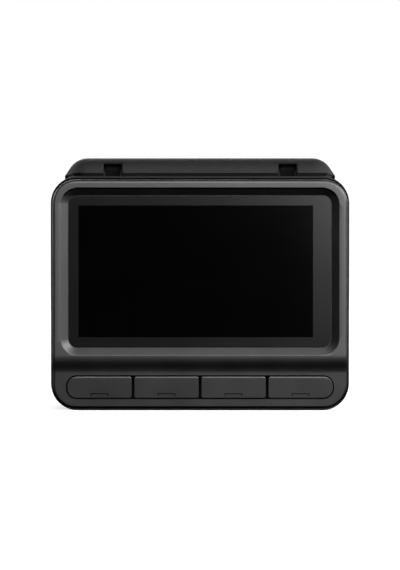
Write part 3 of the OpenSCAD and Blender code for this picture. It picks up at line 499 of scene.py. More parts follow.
tongue_in = wall + 0.1
chassis_post_r, key_post_r = 1.3, 1
tongue = tube("tongue", rim_outline(tongue_in), rim_outline(rim_in), split_y - 0.3, split_y + 1)
frame_parts = [rear_frame, tongue]
post_x = chassis_high[0] - chassis_post_r
for x in (-post_x, post_x):
    for z in (chassis_low[2] + chassis_post_r, chassis_high[2] - chassis_post_r):
        frame_parts.append(post(x, z, chassis_post_r, 0.65, plate_y - 0.2, chassis_high[1] - 1.8))
key_post_z = (key_screw_low[2] + key_screw_high[2]) / 2
for side in (-1, 0, 1):
    frame_parts.append(post(side * (key_screw_high[0] - key_post_r), key_post_z, key_post_r, 0.5,
                            plate_y - 0.2, key_screw_high[1] - 1.4))
rear_frame = smooth(joined("rear_frame", frame_parts))
print("posts and tongue joined:", len(frame_parts) - 1)

# %% [markdown]
# ## The front housing
# The road side of the body is a deep shell. Its top is level beside the display, then slopes down
# under the mount, so that the mount can lie flat on a raked windscreen. A stack of outlines along Y
# gives that form: each slice has its own top height and corner radius, and the last slices close in
# quickly to round the edge towards the road.

# %% Outline of the front housing at any depth
plate_drop = 1.6
slope_start_y = axis_y - plate_drop / math.sin(slope)
front_c = front_y - front_r


def slope_z(y):
    """Height of the sloping top's plane."""
    return axis_z - plate_drop / math.cos(slope) - (y - axis_y) * math.tan(slope)


front_top_z = slope_z(front_c + front_r * math.sin(slope)) - front_r * math.cos(slope)


def casing_slice(y, g, count=14):
    """Rows of the housing's outline at depth y, taken in by g."""
    r = max(0.2, front_r - g)
    fall = math.sqrt(max(0, r * r - (y - front_c) ** 2))
    side = g if y <= front_c else g + r - fall
    top = body_h - g
    if y > slope_start_y - g * math.tan(slope / 2):
        top = slope_z(y) - g / math.cos(slope)
    if y > front_c + r * math.sin(slope):
        top = front_top_z + fall
    corner = max(0.3, corner_r - side)
    side_z = fan(side + corner, top - corner, count)[1:-1]
    return outline_rows(half_body - side, side, top, corner, side_z)


def casing_block(name, g, y0, edge=0.0):
    """The housing's solid form, taken in by g, with its rear edge rounded by edge."""
    r = max(0.2, front_r - g)
    stack = []
    for rise, inset in rounding(edge, 0, 90, 5) if edge else []:
        stack.append((casing_slice(y0 + 1, inset), lambda _, back=y0 + rise: back))
    depths = [y0] if not edge else []
    depths += fan(y0 + 1, slope_start_y - g * math.tan(slope / 2), 4)
    depths += fan(slope_start_y + 0.6, front_c, 8)
    depths += [y for _, y in arc(r, 8, 90, 10, (0, front_c))]
    stack += [(casing_slice(y, g), lambda _, y=y: y) for y in depths]
    return grid_shell(name, stack)


housing = casing_block("housing", 0, split_y, edge=0.15)
print("housing slices made, top at the front:", round(front_top_z, 2))

# %% [markdown]
# Vents and speaker holes repeat one shape on a pattern of places. A loop of copies would do, and an
# Array would for straight rows, but one Geometry Nodes tree serves every pattern: it sets a shape on
# every point of a mesh that has only points. The same tree later sets the screws. A modifier's inputs
# are set by their identifiers, because names may repeat.

# %% A tree that sets a shape on points
def repeat_tree():
    """Geometry Nodes: a shape, turned and scaled, on each point, as real mesh with one material."""
    tree = bpy.data.node_groups.new("shape_on_points", "GeometryNodeTree")
    face = tree.interface
    face.new_socket("Points", in_out="INPUT", socket_type="NodeSocketGeometry")
    face.new_socket("Shape", in_out="INPUT", socket_type="NodeSocketObject")
    face.new_socket("Turn", in_out="INPUT", socket_type="NodeSocketVector")
    face.new_socket("Size", in_out="INPUT", socket_type="NodeSocketFloat").default_value = 1
    face.new_socket("Finish", in_out="INPUT", socket_type="NodeSocketMaterial")
    face.new_socket("Mesh", in_out="OUTPUT", socket_type="NodeSocketGeometry")
    inputs = tree.nodes.new("NodeGroupInput")
    info = tree.nodes.new("GeometryNodeObjectInfo")
    spread = tree.nodes.new("GeometryNodeInstanceOnPoints")
    real = tree.nodes.new("GeometryNodeRealizeInstances")
    finish = tree.nodes.new("GeometryNodeSetMaterial")
    output = tree.nodes.new("NodeGroupOutput")
    spread.inputs["Pick Instance"].default_value = False
    for start, end in ((inputs.outputs["Shape"], info.inputs["Object"]),
                       (inputs.outputs["Points"], spread.inputs["Points"]),
                       (info.outputs["Geometry"], spread.inputs["Instance"]),
                       (inputs.outputs["Turn"], spread.inputs["Rotation"]),
                       (inputs.outputs["Size"], spread.inputs["Scale"]),
                       (spread.outputs["Instances"], real.inputs["Geometry"]),
                       (real.outputs["Geometry"], finish.inputs["Geometry"]),
                       (inputs.outputs["Finish"], finish.inputs["Material"]),
                       (finish.outputs["Geometry"], output.inputs["Mesh"])):
        tree.links.new(start, end)
    return tree


shape_on_points = repeat_tree()


def repeat(name, shape, places, turn=(0, 0, 0), size=1.0, finish=None):
    """Sets a shape on places given in millimetres, and deletes the shape."""
    mesh = bpy.data.meshes.new(name)
    mesh.from_pydata([Vector(p) * MM for p in places], [], [])
    piece = bpy.data.objects.new(name, mesh)
    bpy.context.scene.collection.objects.link(piece)
    modifier = piece.modifiers.new("repeat", "NODES")
    modifier.node_group = shape_on_points
    named = {"Shape": shape, "Turn": tuple(turn), "Size": size, "Finish": finish}
    for socket in shape_on_points.interface.items_tree:
        if socket.name in named:
            modifier[socket.identifier] = named[socket.name]
    settle(piece)
    bpy.data.objects.remove(shape)
    return piece


print("tree inputs:", [s.name for s in shape_on_points.interface.items_tree if s.in_out == "INPUT"])

# %% [markdown]
# The housing is hollow, and its top has a round trough in which the mount's barrel turns. The trough
# is cut with the barrel's own solid, grown by the gap, so the two always fit. Cutting with a grown
# copy is the surest way to an even gap. A narrow groove parts the housing's rim from the rear frame.

# %% The barrel's section, which the trough and the mount share
flank = math.radians(56)
mount_edge_r = 6
flank_drop = barrel_r - mount_edge_r + mount_edge_r * math.cos(flank)
edge_w = mount_edge_r * math.sin(flank) + flank_drop / math.tan(flank)
mount_half_top = box_mm("mount_shell")[1][0] - edge_w


def mount_edge(grow=0.0, steps=8):
    """The mount's edge in section, from the face to the foot: (distance outside the face, height)."""
    r = mount_edge_r + grow
    turn = [(r * math.sin(a), barrel_r - mount_edge_r + r * math.cos(a)) for a in fan(0, flank, steps)]
    return turn + [(edge_w + grow / math.sin(flank), 0)]


def barrel_solid(name, grow, steps=72):
    """The mount's rounded back edge, turned all round the hinge axis."""
    right = [(mount_half_top + out, height) for out, height in mount_edge(grow)]
    profile = [(-x, height) for x, height in reversed(right)] + right
    return loft(name, [[(x, y, z) for y, z in disc(h, steps, (axis_y, axis_z))] for x, h in profile])


def rod_x(name, r, x0, x1, y, z, steps=48):
    """A round bar along X."""
    return bar_x(name, disc(r, steps, (y, z)), x0, x1)


print("mount's edge, mm wide:", round(edge_w, 2))

# %% [markdown]
# The hollow is the housing's own form taken in by the wall, so the wall is even everywhere. Where the
# trough dips in, the hollow is cut back first by a bar, or the trough would break through.

# %% Cut the hollow, the hinge trough and the groove round the rear frame
trough_r = barrel_r + mount_gap
hollow = boolean(casing_block("hollow", wall, split_y - 0.5),
                 [rod_x("trough_wall", trough_r + wall, -half_body, half_body, axis_y, axis_z)])
groove_in, groove_depth = 0.7, 0.9
wider = (half_body - 0.14) / (half_body - groove_in)
higher = (body_h - 0.5) / (body_h - groove_in)
groove_out = [(x * wider, max(groove_in, z * higher)) for x, z in rim_outline(groove_in)]
groove = tube("groove", groove_out, rim_outline(rim_step + 0.06), split_y - 0.2, split_y + groove_depth)
boolean(housing, [hollow, barrel_solid("trough", mount_gap), groove])
print("housing hollowed:", len(housing.data.polygons), "faces")

# %% [markdown]
# Sockets, the memory card, the speaker and the microphone need holes, and warm air leaves through
# slots in both sides and the floor. The holes take their places from the parts behind them. Each
# cutter widens a little at its mouth, because a moulded hole never has a knife edge.

# %% Shapes of the holes
ring_low, ring_high = box_mm("lens_ring")
speaker_low, speaker_high = box_mm("speaker_mesh")
mic_low, mic_high = box_mm("microphone")
power_low, power_high = box_mm("power_socket")
camera_low, camera_high = box_mm("rear_camera_socket")
card_low, card_high = box_mm("memory_card")
screw_low, screw_high = box_mm("case_screws")
lens_z = (ring_low[2] + ring_high[2]) / 2
inner_y = front_y - wall


def middle(low, high):
    """The middle of a box."""
    return [(a + b) / 2 for a, b in zip(low, high)]


def flared_pin(name, r, length, lead=0.15, steps=20):
    """A round cutter along Y from 0 to length, with a small lead at its far end."""
    profile = [(r, 0), (r, length - 0.6 - lead), (r + lead, length - 0.6), (r + lead, length)]
    return lathe(name, profile, steps=steps, closed=False)


def long_hole(name, half_w, half_l, depth, lead=0.12):
    """A cutter with round ends along Z, going in along X; its mouth is at x = 0."""
    steps = [(0.6, 3 * lead), (0, lead), (-lead, 0), (-depth, 0)]
    rings = []
    for x, grow in steps:
        w, end = half_w + grow, half_l + grow
        rings.append([(x, y, z) for y, z in rounded(w, -end, end, w - 0.01, steps=6)])
    return loft(name, rings)


print("lens axis at height, mm:", round(lens_z, 2))

# %% [markdown]
# The speaker's holes stand in a hexagon, which packs most holes into a round patch. The vents are
# rows of equal slots. Each pattern is a list of points for the tree above, and the left row is the
# right one turned half round.

# %% Speaker holes, microphone hole and vents
grille_pitch = 2.7
row_share = math.sin(math.radians(60))
hexagon = [(i, j) for i in range(-2, 3) for j in range(-2, 3) if abs(i + j) <= 2]
grille = [((i + j / 2) * grille_pitch, j * row_share * grille_pitch) for i, j in hexagon]
speaker_x = middle(speaker_low, speaker_high)[0]
mic_x, mic_z = middle(mic_low, mic_high)[0::2]
pin_y, pin_l = inner_y - 0.5, wall + 1.1
speaker_holes = repeat("speaker_holes", flared_pin("hole", 0.65, pin_l),
                       [(speaker_x + u, pin_y, lens_z + v) for u, v in grille])
mic_hole = repeat("mic_hole", flared_pin("hole", 0.6, pin_l), [(mic_x, pin_y, mic_z)])
vent_places = [front_c - 2 - i * 2.6 for i in range(4)]
vent_sizes = (0.65, 6.5, 2.4)
half_turn = (0, 0, math.pi)
right_vents = repeat("right_vents", long_hole("vent", *vent_sizes),
                     [(half_body, y, lens_z) for y in vent_places])
left_vents = repeat("left_vents", long_hole("vent", *vent_sizes),
                    [(-half_body, y, lens_z) for y in vent_places], turn=half_turn)
floor_vents = repeat("floor_vents", long_hole("vent", 0.75, 4.5, 2.4),
                     [(x, 3, 0) for x in range(-15, 16, 5)], turn=(math.pi / 2, math.pi / 2, 0))
print("speaker holes:", len(grille), "side vents:", 2 * len(vent_places))

# %% [markdown]
# The two sockets and the card take long holes that fit their shells with a little play. The card's
# hole also gets a scoop for a fingertip, and the two case screws sink into stepped holes in the floor.
# These are cut last, all in one call.

# %% Sockets, card slot and screw holes
def half_sizes(low, high, play):
    """Half the thickness and half the width of what goes into a long hole, with play."""
    return (high[1] - low[1]) / 2 + play, (high[2] - low[2]) / 2 + play


usb_y, power_z = middle(power_low, power_high)[1:]
camera_z = middle(camera_low, camera_high)[2]
socket_holes = repeat("socket_holes", long_hole("hole", *half_sizes(power_low, power_high, 0.3), 2.4),
                      [(-half_body, usb_y, z) for z in (power_z, camera_z)], turn=half_turn)
card_y, card_z = middle(card_low, card_high)[1:]
card_hole = repeat("card_hole", long_hole("hole", *half_sizes(card_low, card_high, 0.3), 3),
                   [(half_body, card_y, card_z)])
scoop_x = half_body + 1.2
scoop_steps = ((1.6, -3.4), (2.2, -2.6), (2.2, 2.6), (1.6, 3.4))
scoop = loft("scoop", [[(x, y, card_z + up) for x, y in disc(r, 36, (scoop_x, card_y))]
                       for r, up in scoop_steps])
screw_head_r = 1.75
screw_x = screw_high[0] - screw_head_r
screw_y = middle(screw_low, screw_high)[1]


def turned_z(name, profile, x, y, steps=32):
    """Turns a profile of (radius, z) about a vertical line."""
    return loft(name, [[(x + px, y + py, z) for px, py in disc(r, steps)] for r, z in profile])


sink_profile = [(2.3, -0.3), (2.0, 0), (1.9, 0.12), (1.9, 0.8), (1, 0.8), (1, 2.6)]
sinks = [turned_z("sink", sink_profile, x, screw_y) for x in (-screw_x, screw_x)]
bore_r = 10.4
lens_bore = prism("lens_bore", disc(bore_r, 74, (0, lens_z)), inner_y - 1, front_y + 1)
boolean(housing, [lens_bore, speaker_holes, mic_hole, right_vents, left_vents, floor_vents,
                  socket_holes, card_hole, scoop] + sinks)
print("housing with its holes:", len(housing.data.polygons), "faces")

# %% [markdown]
# The lens sits in a raised round boss, and two ears stand up in the hinge trough to carry the pins.
# Both are part of the same moulding. The ears are lofted along X with rounded edges, because they
# show in the two notches of the mount.

# %% Boss, posts and hinge ears of the housing
boss_r = ring_high[0] + 1.7
ear_r = 3
ear_w = 4.2
ear_edge = 0.35
washer_t, washer_play = 0.38, 0.05
notch_w = ear_w + 2 * (washer_t + washer_play)
ear_x = box_mm("friction_washers")[1][0] - notch_w / 2 + washer_play


def boss():
    """The raised seat of the lens ring, with its bore going in behind the wall."""
    top, low, edge_r = front_y + boss_h, front_y - 6, 0.4
    foot = [(boss_r + 0.5, front_y - 0.2), (boss_r + 0.5, front_y), (boss_r + 0.15, front_y + 0.12),
            (boss_r, front_y + 0.5)]
    edge = arc(edge_r, 0, 90, 4, (boss_r - edge_r, top - edge_r))
    inside = [(bore_r + 0.2, top), (bore_r, top - 0.2), (bore_r, low), (bore_r + wall, low),
              (bore_r + wall, front_y - 0.2)]
    return lathe("boss", foot + edge + inside, z=lens_z)


def ear_section(inset):
    """The ear's outline (y, z): a round top over a foot in the trough, taken in by an inset."""
    r = ear_r - inset
    foot_z = axis_z - trough_r - 0.8
    face_y = axis_y - 2.05 + inset
    top = arc(r, 0, 146, 20, (axis_y, axis_z))
    return top + [(face_y, axis_z - 1), (face_y, foot_z), (axis_y + r, foot_z)]


def ear(x):
    """One hinge ear, lofted along X, with rounded edges."""
    rings = []
    for side, steps in ((-1, rounding(ear_edge, 90, 0, 4)), (1, rounding(ear_edge, 0, 90, 4))):
        for inset, back in steps:
            along = x + side * (ear_w / 2 - back)
            rings.append([(along, y, z) for y, z in ear_section(inset)])
    return loft("ear", rings)


sensor_post_x = 14.3
post_top = inner_y + 0.2
housing_parts = [housing, boss(), ear(-ear_x), ear(ear_x)]
for x in (-sensor_post_x, sensor_post_x):
    housing_parts.append(post(x, lens_z, 1.9, 0.8, front_y - 16, post_top))
speaker_r = (speaker_high[0] - speaker_low[0]) / 2
housing_parts.append(post(speaker_x, lens_z, speaker_r + 1.1, speaker_r + 0.1, inner_y - 2.6, post_top))
housing = smooth(joined("front_housing_skin", housing_parts))
print("ears at x, mm:", round(ear_x, 2), "boss radius:", round(boss_r, 2))

# %% [markdown]
# ## The mount
# The mount's back edge is round about the hinge axis, and its plate lies down the slope to a
# rounded front. Every level curve of its edge runs the same way: up from under the hinge, over
# the barrel, along the side, round the front corner and back. So one sheet of stations by levels
# makes the whole edge, and a grid closes the top.

# %% Stations of the mount's outline
barrel_start, barrel_end, barrel_steps = 238, 90, 40
mount_l = 28
plan_r = 4
slope_frame = Matrix.Translation((0, axis_y, axis_z)) @ Matrix.Rotation(-slope, 4, "X")


def on_slope(x, t, n):
    """A point of the mount's own frame: t down the slope from the hinge axis, n out of its face."""
    return tuple(slope_frame @ Vector((x, t, n)))


def half_stations():
    """Stations from under the hinge to the front's middle: each makes (x, t, n) of (out, height)."""
    stations = []
    for c, s in arc(1, barrel_start, barrel_end, barrel_steps):
        stations.append(lambda out, h, c=c, s=s: (mount_half_top + out, h * c, h * s))
    front = mount_l - edge_w
    for f in fan(0, 1, 8)[1:]:
        stations.append(lambda out, h, f=f: (mount_half_top + out, f * (front - plan_r), h))
    for c, s in arc(1, 0, 90, 10)[1:]:
        stations.append(lambda out, h, c=c, s=s: (mount_half_top - plan_r + (plan_r + out) * c,
                                                  front - plan_r + (plan_r + out) * s, h))
    return stations


print("mount stations on each side:", len(half_stations()))

# %% [markdown]
# The sheet of stations is made for the right side and mirrored for the left. Between the two edges
# the top and the front are spread from side to side, and the foot and the back end are one face each.
# A subdivision surface would need fewer points, but it would not keep the barrel exactly round.

# %% The solid mount
def mirrored(row):
    """A row of points on the other side."""
    return [(-x, t, n) for x, t, n in row]


def mount_block():
    """The solid mount, before it is hollowed: sheets over its edge and top, and two end faces."""
    levels = [(0, barrel_r)] + mount_edge()[1:]
    edge = [[place(out, h) for out, h in levels] for place in half_stations()]
    across = fan(-1, 1, 24)
    points, faces = [], []

    def sheet(rows):
        """Adds a grid of points in the mount's frame, and the faces between them."""
        faces.extend(sheet_faces(len(points), len(rows), len(rows[0])))
        points.extend(on_slope(*p) for row in rows for p in row)

    def end_face(loop):
        """Adds one face round a loop of points."""
        faces.append(tuple(range(len(points), len(points) + len(loop))))
        points.extend(on_slope(*p) for p in loop)

    def spread(point, shares):
        """Copies of a point between its own side and the other."""
        return [(point[0] * f, *point[1:]) for f in shares]

    sheet(edge)
    sheet([mirrored(row) for row in edge])
    sheet([spread(row[0], across) for row in edge])
    sheet([spread(point, across) for point in edge[-1]])
    foot = [row[-1] for row in edge[barrel_steps:]]
    end_face(foot + spread(foot[-1], across[-2:0:-1]) + mirrored(foot[::-1]))
    start = edge[0]
    end_face(spread(start[0], across) + start[1:] + mirrored(start[:0:-1]))
    return mesh_piece("mount_arm", points, faces)


mount_arm = mount_block()
print("mount block:", len(mount_arm.data.polygons), "faces")

# %% [markdown]
# The mount is one thin moulding, so its inside follows the barrel and the plate. Two notches make
# room for the ears, with cheeks beside them that the pins turn in, and screw posts stand in the
# plate. The rooms are plain bars cut out with the boolean; only what shows has its edges eased.

# %% Helpers in the mount's own frame
mount_wall = 1.5
room_r = barrel_r - mount_wall
pocket_r = ear_r + 0.3
cheek_r, cheek_t = barrel_r - 0.8, 1.9
cavity_l = mount_l - edge_w - 0.6
cover_t0 = cheek_r + 0.6
parting = 170
step_in = 0.35
mount_screw_x = mount_half_top - 5
mount_screw_t = [cover_t0 + 3.4, cavity_l - 2.6]


def slope_loft(name, rings, closed=False):
    """A loft whose rings are drawn in the mount's own frame."""
    return loft(name, [[on_slope(*p) for p in ring] for ring in rings], closed)


def slope_bar(name, outline, x0, x1):
    """An outline (t, n) in the mount's frame, made solid along X."""
    return slope_loft(name, [[(x, t, n) for t, n in outline] for x in (x0, x1)])


def slope_post(x, t):
    """A screw post of the mount, along its frame's normal."""
    r, hole_r, top = 2, 0.8, room_r + 0.3
    steps = ((r, 0), (r, top), (hole_r, top), (hole_r, 0))
    return slope_loft("slope_post", [[(u, v, n) for u, v in disc(q, 24, (x, t))] for q, n in steps],
                      closed=True)


print("mount screws at t, mm:", [round(t, 2) for t in mount_screw_t])

# %% [markdown]
# The order matters here: the inside is cut first, then the cheeks are joined to it, and only then do
# the notches go through both. Last, the barrel below its parting line loses a third of a millimetre,
# as where the two halves of a mould meet, and that step is what draws a shadow line over the body.

# %% Hollow the mount and cut its notches
def notch(x):
    """Room for an ear: square towards the display side and below, with a lead round its mouth."""
    far, corner, step = -7, pocket_r * math.tan(math.radians(22.5)), pocket_r + 0.9
    body = [(pocket_r, far), (pocket_r, corner), (corner, pocket_r), (-3.3, pocket_r), (-4.4, step),
            (far, step), (far, far)]
    half = notch_w / 2
    return bar_x("notch", [(axis_y + y, axis_z + z) for y, z in body], x - half, x + half)


def notch_lead(x):
    """A V-shaped ring about the hinge axis that widens the notch at the barrel's surface."""
    half = notch_w / 2
    low_r, top_r = barrel_r - 0.45, barrel_r + 0.6
    section = [(low_r, half - 0.3), (low_r, half), (barrel_r + 0.1, half + 0.55),
               (top_r, half + 0.55), (top_r, half - 0.3)]
    rings = []
    for c, s in arc(1, 133, 245, 28):
        left = [(x - w, axis_y + r * c, axis_z + r * s) for r, w in section]
        right = [(x + w, axis_y + r * c, axis_z + r * s) for r, w in reversed(section)]
        rings.append(left + right)
    return loft("notch_lead", rings)


def barrel_step():
    """What comes off the barrel below its parting line, so that a shadow line shows over the body."""
    wedge = [(axis_y, axis_z)] + arc(9, parting, 246, 12, (axis_y, axis_z))
    return boolean(bar_x("barrel_step", wedge, -half_body, half_body), [barrel_solid("core", -step_in)])


flat_room = [(0, -2), (cavity_l, -2), (cavity_l, room_r - 0.02), (0, room_r - 0.02)]
boolean(mount_arm, [slope_bar("barrel_room", disc(room_r, 48), -mount_half_top, mount_half_top),
                    slope_bar("plate_room", flat_room, -mount_half_top + 0.02, mount_half_top - 0.02)])
cheek_x = notch_w / 2 + cheek_t
boolean(mount_arm, [slope_bar("cheeks", disc(cheek_r, 40), x - cheek_x, x + cheek_x)
                    for x in (-ear_x, ear_x)], "UNION")
boolean(mount_arm, [notch(x) for x in (-ear_x, ear_x)] + [notch_lead(x) for x in (-ear_x, ear_x)])
boolean(mount_arm, [barrel_step()])
screw_places = [(x, t) for x in (-mount_screw_x, mount_screw_x) for t in mount_screw_t]
mount_arm = smooth(joined("mount_arm", [mount_arm] + [slope_post(x, t) for x, t in screw_places]))
print("mount after its cuts:", len(mount_arm.data.polygons), "faces")

# %% [markdown]
# The rest of the mount is small: a cover closes it from below and is held by four screws, and the pad
# on its face is foam under a film, whose edge shows as fine steps. Both are flat sheets, so each is
# one outline, taken in by a little more or less at each height.

# %% The pad and the cover
pad_half_w, pad_t0, pad_r = mount_half_top - 2.5, 1.2, 3
pad_steps = [(0.08, 0), (0, 0.12), (0, 0.42), (0.06, 0.5), (0, 0.58), (0, 0.8), (0.08, 0.86),
             (0.02, 0.92), (0.02, 1.0), (0.14, 1.1)]
cover_t = 1.2
cover_steps = [(0.3, -cover_t), (0.08, -cover_t + 0.08), (0, -cover_t + 0.3), (0, 0)]
mount_head_r, mount_head_h, mount_shank_r, mount_shank_l, sunk = 1.6, 0.6, 0.8, 2.4, 0.1


def stack_up(name, outline, steps):
    """A solid in the mount's frame: an outline of (x, t) for each inset, at its own height."""
    return slope_loft(name, [[(x, t, n) for x, t in outline(inset)] for inset, n in steps])


def pad_outline(inset):
    """Outline of the pad, a rounded sheet on the mount's face."""
    return rounded(pad_half_w - inset, pad_t0 + inset, cavity_l - inset, pad_r - inset)


def cover_outline(inset):
    """Outline of the mount's cover: square at the hinge end, round at the front corners."""
    half_w, r = mount_half_top + edge_w - inset, plan_r + edge_w - inset
    corner = arc(r, 0, 90, 12, (half_w - r, mount_l - inset - r))
    right = [(half_w, cover_t0 + inset)] + corner
    return right + [(-x, t) for x, t in reversed(right)]


def cover_hole(x, t):
    """A hole for a screw's shank, with a seat for its head."""
    head, shank, seat = mount_head_r + 0.1, mount_shank_r + 0.1, sunk - cover_t + mount_head_h
    steps = [(head + 0.25, -cover_t - 0.2), (head, -cover_t + 0.1), (head, seat), (shank, seat),
             (shank, 0.5)]
    return stack_up("cover_hole", lambda r: disc(r, 32, (x, t)), steps)


pad_rise = [(inset, barrel_r + up) for inset, up in pad_steps]
pad = smooth(stack_up("pad_sheet", pad_outline, pad_rise), angle=60)
cover = stack_up("cover_plate", cover_outline, cover_steps)
cover = smooth(boolean(cover, [cover_hole(x, t) for x, t in screw_places]))
print("pad and cover faces:", len(pad.data.polygons), len(cover.data.polygons))

# %% [markdown]
# Screws are one shape, turned on a lathe with a cross pressed into the head, and the same points tree
# sets them on their places. Their threads are rings, not a helix: at this size nobody sees the lead.

# %% Screws with a cross in the head
def screw(name, head_r, head_h, shank_r, length):
    """A screw along +Z with its head's face at zero: a low dome, a cross recess and a thread."""
    groove, pitch = 0.12, 0.5
    dome = [(0.02, 0), (head_r * 0.6, 0.02), (head_r - 0.2, 0.08), (head_r - 0.05, 0.18),
            (head_r, 0.32), (head_r, head_h), (shank_r, head_h)]
    turns = int((length - head_h - 0.6) / pitch)
    thread = [(shank_r - groove * (i % 2), head_h + 0.1 + pitch / 2 * i) for i in range(2 * turns)]
    tip = [(shank_r - groove, length - 0.3), (shank_r * 0.5, length)]
    arm, half = head_r * 0.62, head_r * 0.14
    cross = []
    for u, v in ((arm, half), (half, arm)):
        rings = [[(x * u * f, y * v * f, z) for x, y in ((-1, -1), (1, -1), (1, 1), (-1, 1))]
                 for f, z in ((1, -0.5), (1, 0), (0.6, head_h * 0.7))]
        cross.append(loft("arm", rings))
    return smooth(boolean(turned_z(name, dome + thread + tip, 0, 0), cross))


case_screws = repeat("case_screws_turned", screw("screw", screw_head_r, 0.7, 0.8, 5.5),
                     [(x, screw_y, 0.1) for x in (-screw_x, screw_x)])
mount_screw = screw("screw", mount_head_r, mount_head_h, mount_shank_r, cover_t + mount_shank_l)
mount_screws = repeat("mount_screws_turned", mount_screw,
                      [on_slope(x, t, sunk - cover_t) for x, t in screw_places], turn=(-slope, 0, 0))
print("screws set:", 2 + len(screw_places))

# %% [markdown]
# ## The keys
# Four caps fill the slot, and the outer ends of the row are round. Each cap is a stack of outlines:
# rounded face edge, side, the wider lip behind the frame that keeps the cap in, and the stem. A
# bracket-shaped mark is pressed into the face.

# %% Outlines of the keys
key_names = ["left_end", "left_middle", "right_middle", "right_end"]
key_face_y = key_y - key_proud
cap_edge = 0.14
cap_brow = 0.5
half_key_h = (slot_high_z - slot_low_z) / 2 - key_play
key_pitch = box_mm("right_middle_key")[0][0] - box_mm("left_middle_key")[0][0]
key_w = key_pitch - 0.7
lip_y = plate_y + 0.05


def cap_outline(x, radii, inset, half_h=half_key_h, half_w=key_w / 2, steps=8):
    """Outline of a cap with its own radius at the left and the right end, taken in by an inset."""
    points = []
    for side, z, turn in ((-1, -1, 180), (1, -1, 270), (1, 1, 0), (-1, 1, 90)):
        r = radii[side > 0]
        inner = max(0.05, r - inset)
        cx, cz = x + side * (half_w - r), slot_z + z * (half_h - r)
        if r <= inset:
            cx, cz = x + side * (half_w - inset - inner), slot_z + z * (half_h - inset - inner)
        points += arc(inner, turn, turn + 90, steps, (cx, cz))
    return points


def cap_mark(x):
    """The cutter of a cap's mark: a fine line with its two ends turned down."""
    half, line, depth, drop = 2.5, 0.25, 0.25, 0.6
    mark_z = slot_low_z + 1.4
    mark = [(-half, -drop), (line - half, -drop), (line - half, 0), (half - line, 0),
            (half - line, -drop), (half, -drop), (half, line), (-half, line)]
    return prism("mark", [(x + u, mark_z + v) for u, v in mark], key_face_y - 0.5, key_face_y + depth)


print("key pitch, mm:", round(key_pitch, 2), "cap width:", round(key_w, 2))

# %% [markdown]
# The rings of a cap end behind the plate, where its lip begins. The mark is cut while the face is
# still upright, and then the whole front of the cap leans back with the panel, so the mark has the
# same depth everywhere. The lip and the stem are joined after that and stay upright.

# %% Build the key caps
def cap_rings(x, radii):
    """Rings of a cap's visible part: a rounded edge, higher along the brow, and the side."""
    rings = []
    for inset, depth in rounding(cap_edge, 90, 0, 6):
        brow_z, brow_in = slot_z + half_key_h - inset - 0.2, (cap_brow / cap_edge - 1) * inset
        outline = [(u, v - brow_in * (v > brow_z)) for u, v in cap_outline(x, radii, inset)]
        rings.append(ring_at(key_face_y + depth, outline))
    return rings + [ring_at(lip_y + 0.3, cap_outline(x, radii, 0))]


def key_cap(index):
    """One key cap with its lip and its mark."""
    name = key_names[index]
    low, high = box_mm(name + "_key")
    ends = (index == 0, index == 3)
    x = (index - 1.5) * key_pitch
    cap = loft(name + "_cap", cap_rings(x, [slot_r - key_play if end else 0.6 for end in ends]))
    boolean(cap, [cap_mark(x)])
    for corner in cap.data.vertices:
        if corner.co.y < (key_face_y + 0.6) * MM:
            corner.co.y += key_lean * (slot_high_z * MM - corner.co.z)
    lip_outline = cap_outline((low[0] + high[0]) / 2, [slot_r + lip if end else 0.3 for end in ends], 0,
                              (high[2] - low[2]) / 2, (high[0] - low[0]) / 2)
    lip_plate = prism("lip", lip_outline, lip_y, lip_y + 0.9)
    stem_low, stem_high = box_mm(name + "_nub")
    stem_at = ((stem_low[0] + stem_high[0]) / 2, slot_z)
    stem = prism("stem", disc(1.2, 24, stem_at), lip_y + 0.8, stem_low[1])
    return smooth(joined(name + "_cap", [cap, lip_plate, stem]))


key_caps = [key_cap(i) for i in range(4)]
print("key caps:", [cap.name for cap in key_caps])

# %% [markdown]
# ## The cover glass
# One flat sheet of black-printed glass covers the panel. Its edge is polished round, and the panel's
# picture area shows through as the deeper black.

# %% Build the cover glass
def cover_glass():
    """A sheet of glass with a rounded front edge and a small chamfer behind."""
    edge, play = 0.04, 0.14
    rings = [ring_at(glass_y + depth, glass_outline(-play - inset))
             for inset, depth in rounding(edge, 90, 0, 4)]
    rings.append(ring_at(glass_y + glass_t - 0.1, glass_outline(-play)))
    rings.append(ring_at(glass_y + glass_t, glass_outline(-play - 0.1)))
    return smooth(loft("cover_glass", rings), angle=40)


glass = cover_glass()
print("glass, mm:", round(2 * glass_half_w, 2), "x", round(2 * glass_half_h, 2))

# %% [markdown]
# ## The lens
# Everything round the optical axis is turned on a lathe. The bright ring screws into the boss, its
# mouth falls in fine steps that stop stray light, and the front lens sits deep in a black barrel
# behind a threaded retainer.

# %% Turn the lens ring
barrel_low, barrel_high = box_mm("lens_barrel")
ring_r = ring_high[0]
ring_tip = ring_high[1]
barrel_out_r = barrel_high[0]
rim_y = barrel_high[1]
front_lens_low, front_lens_high = box_mm("front_lens")
front_lens_r = front_lens_high[0]
lens_vertex = front_lens_high[1]


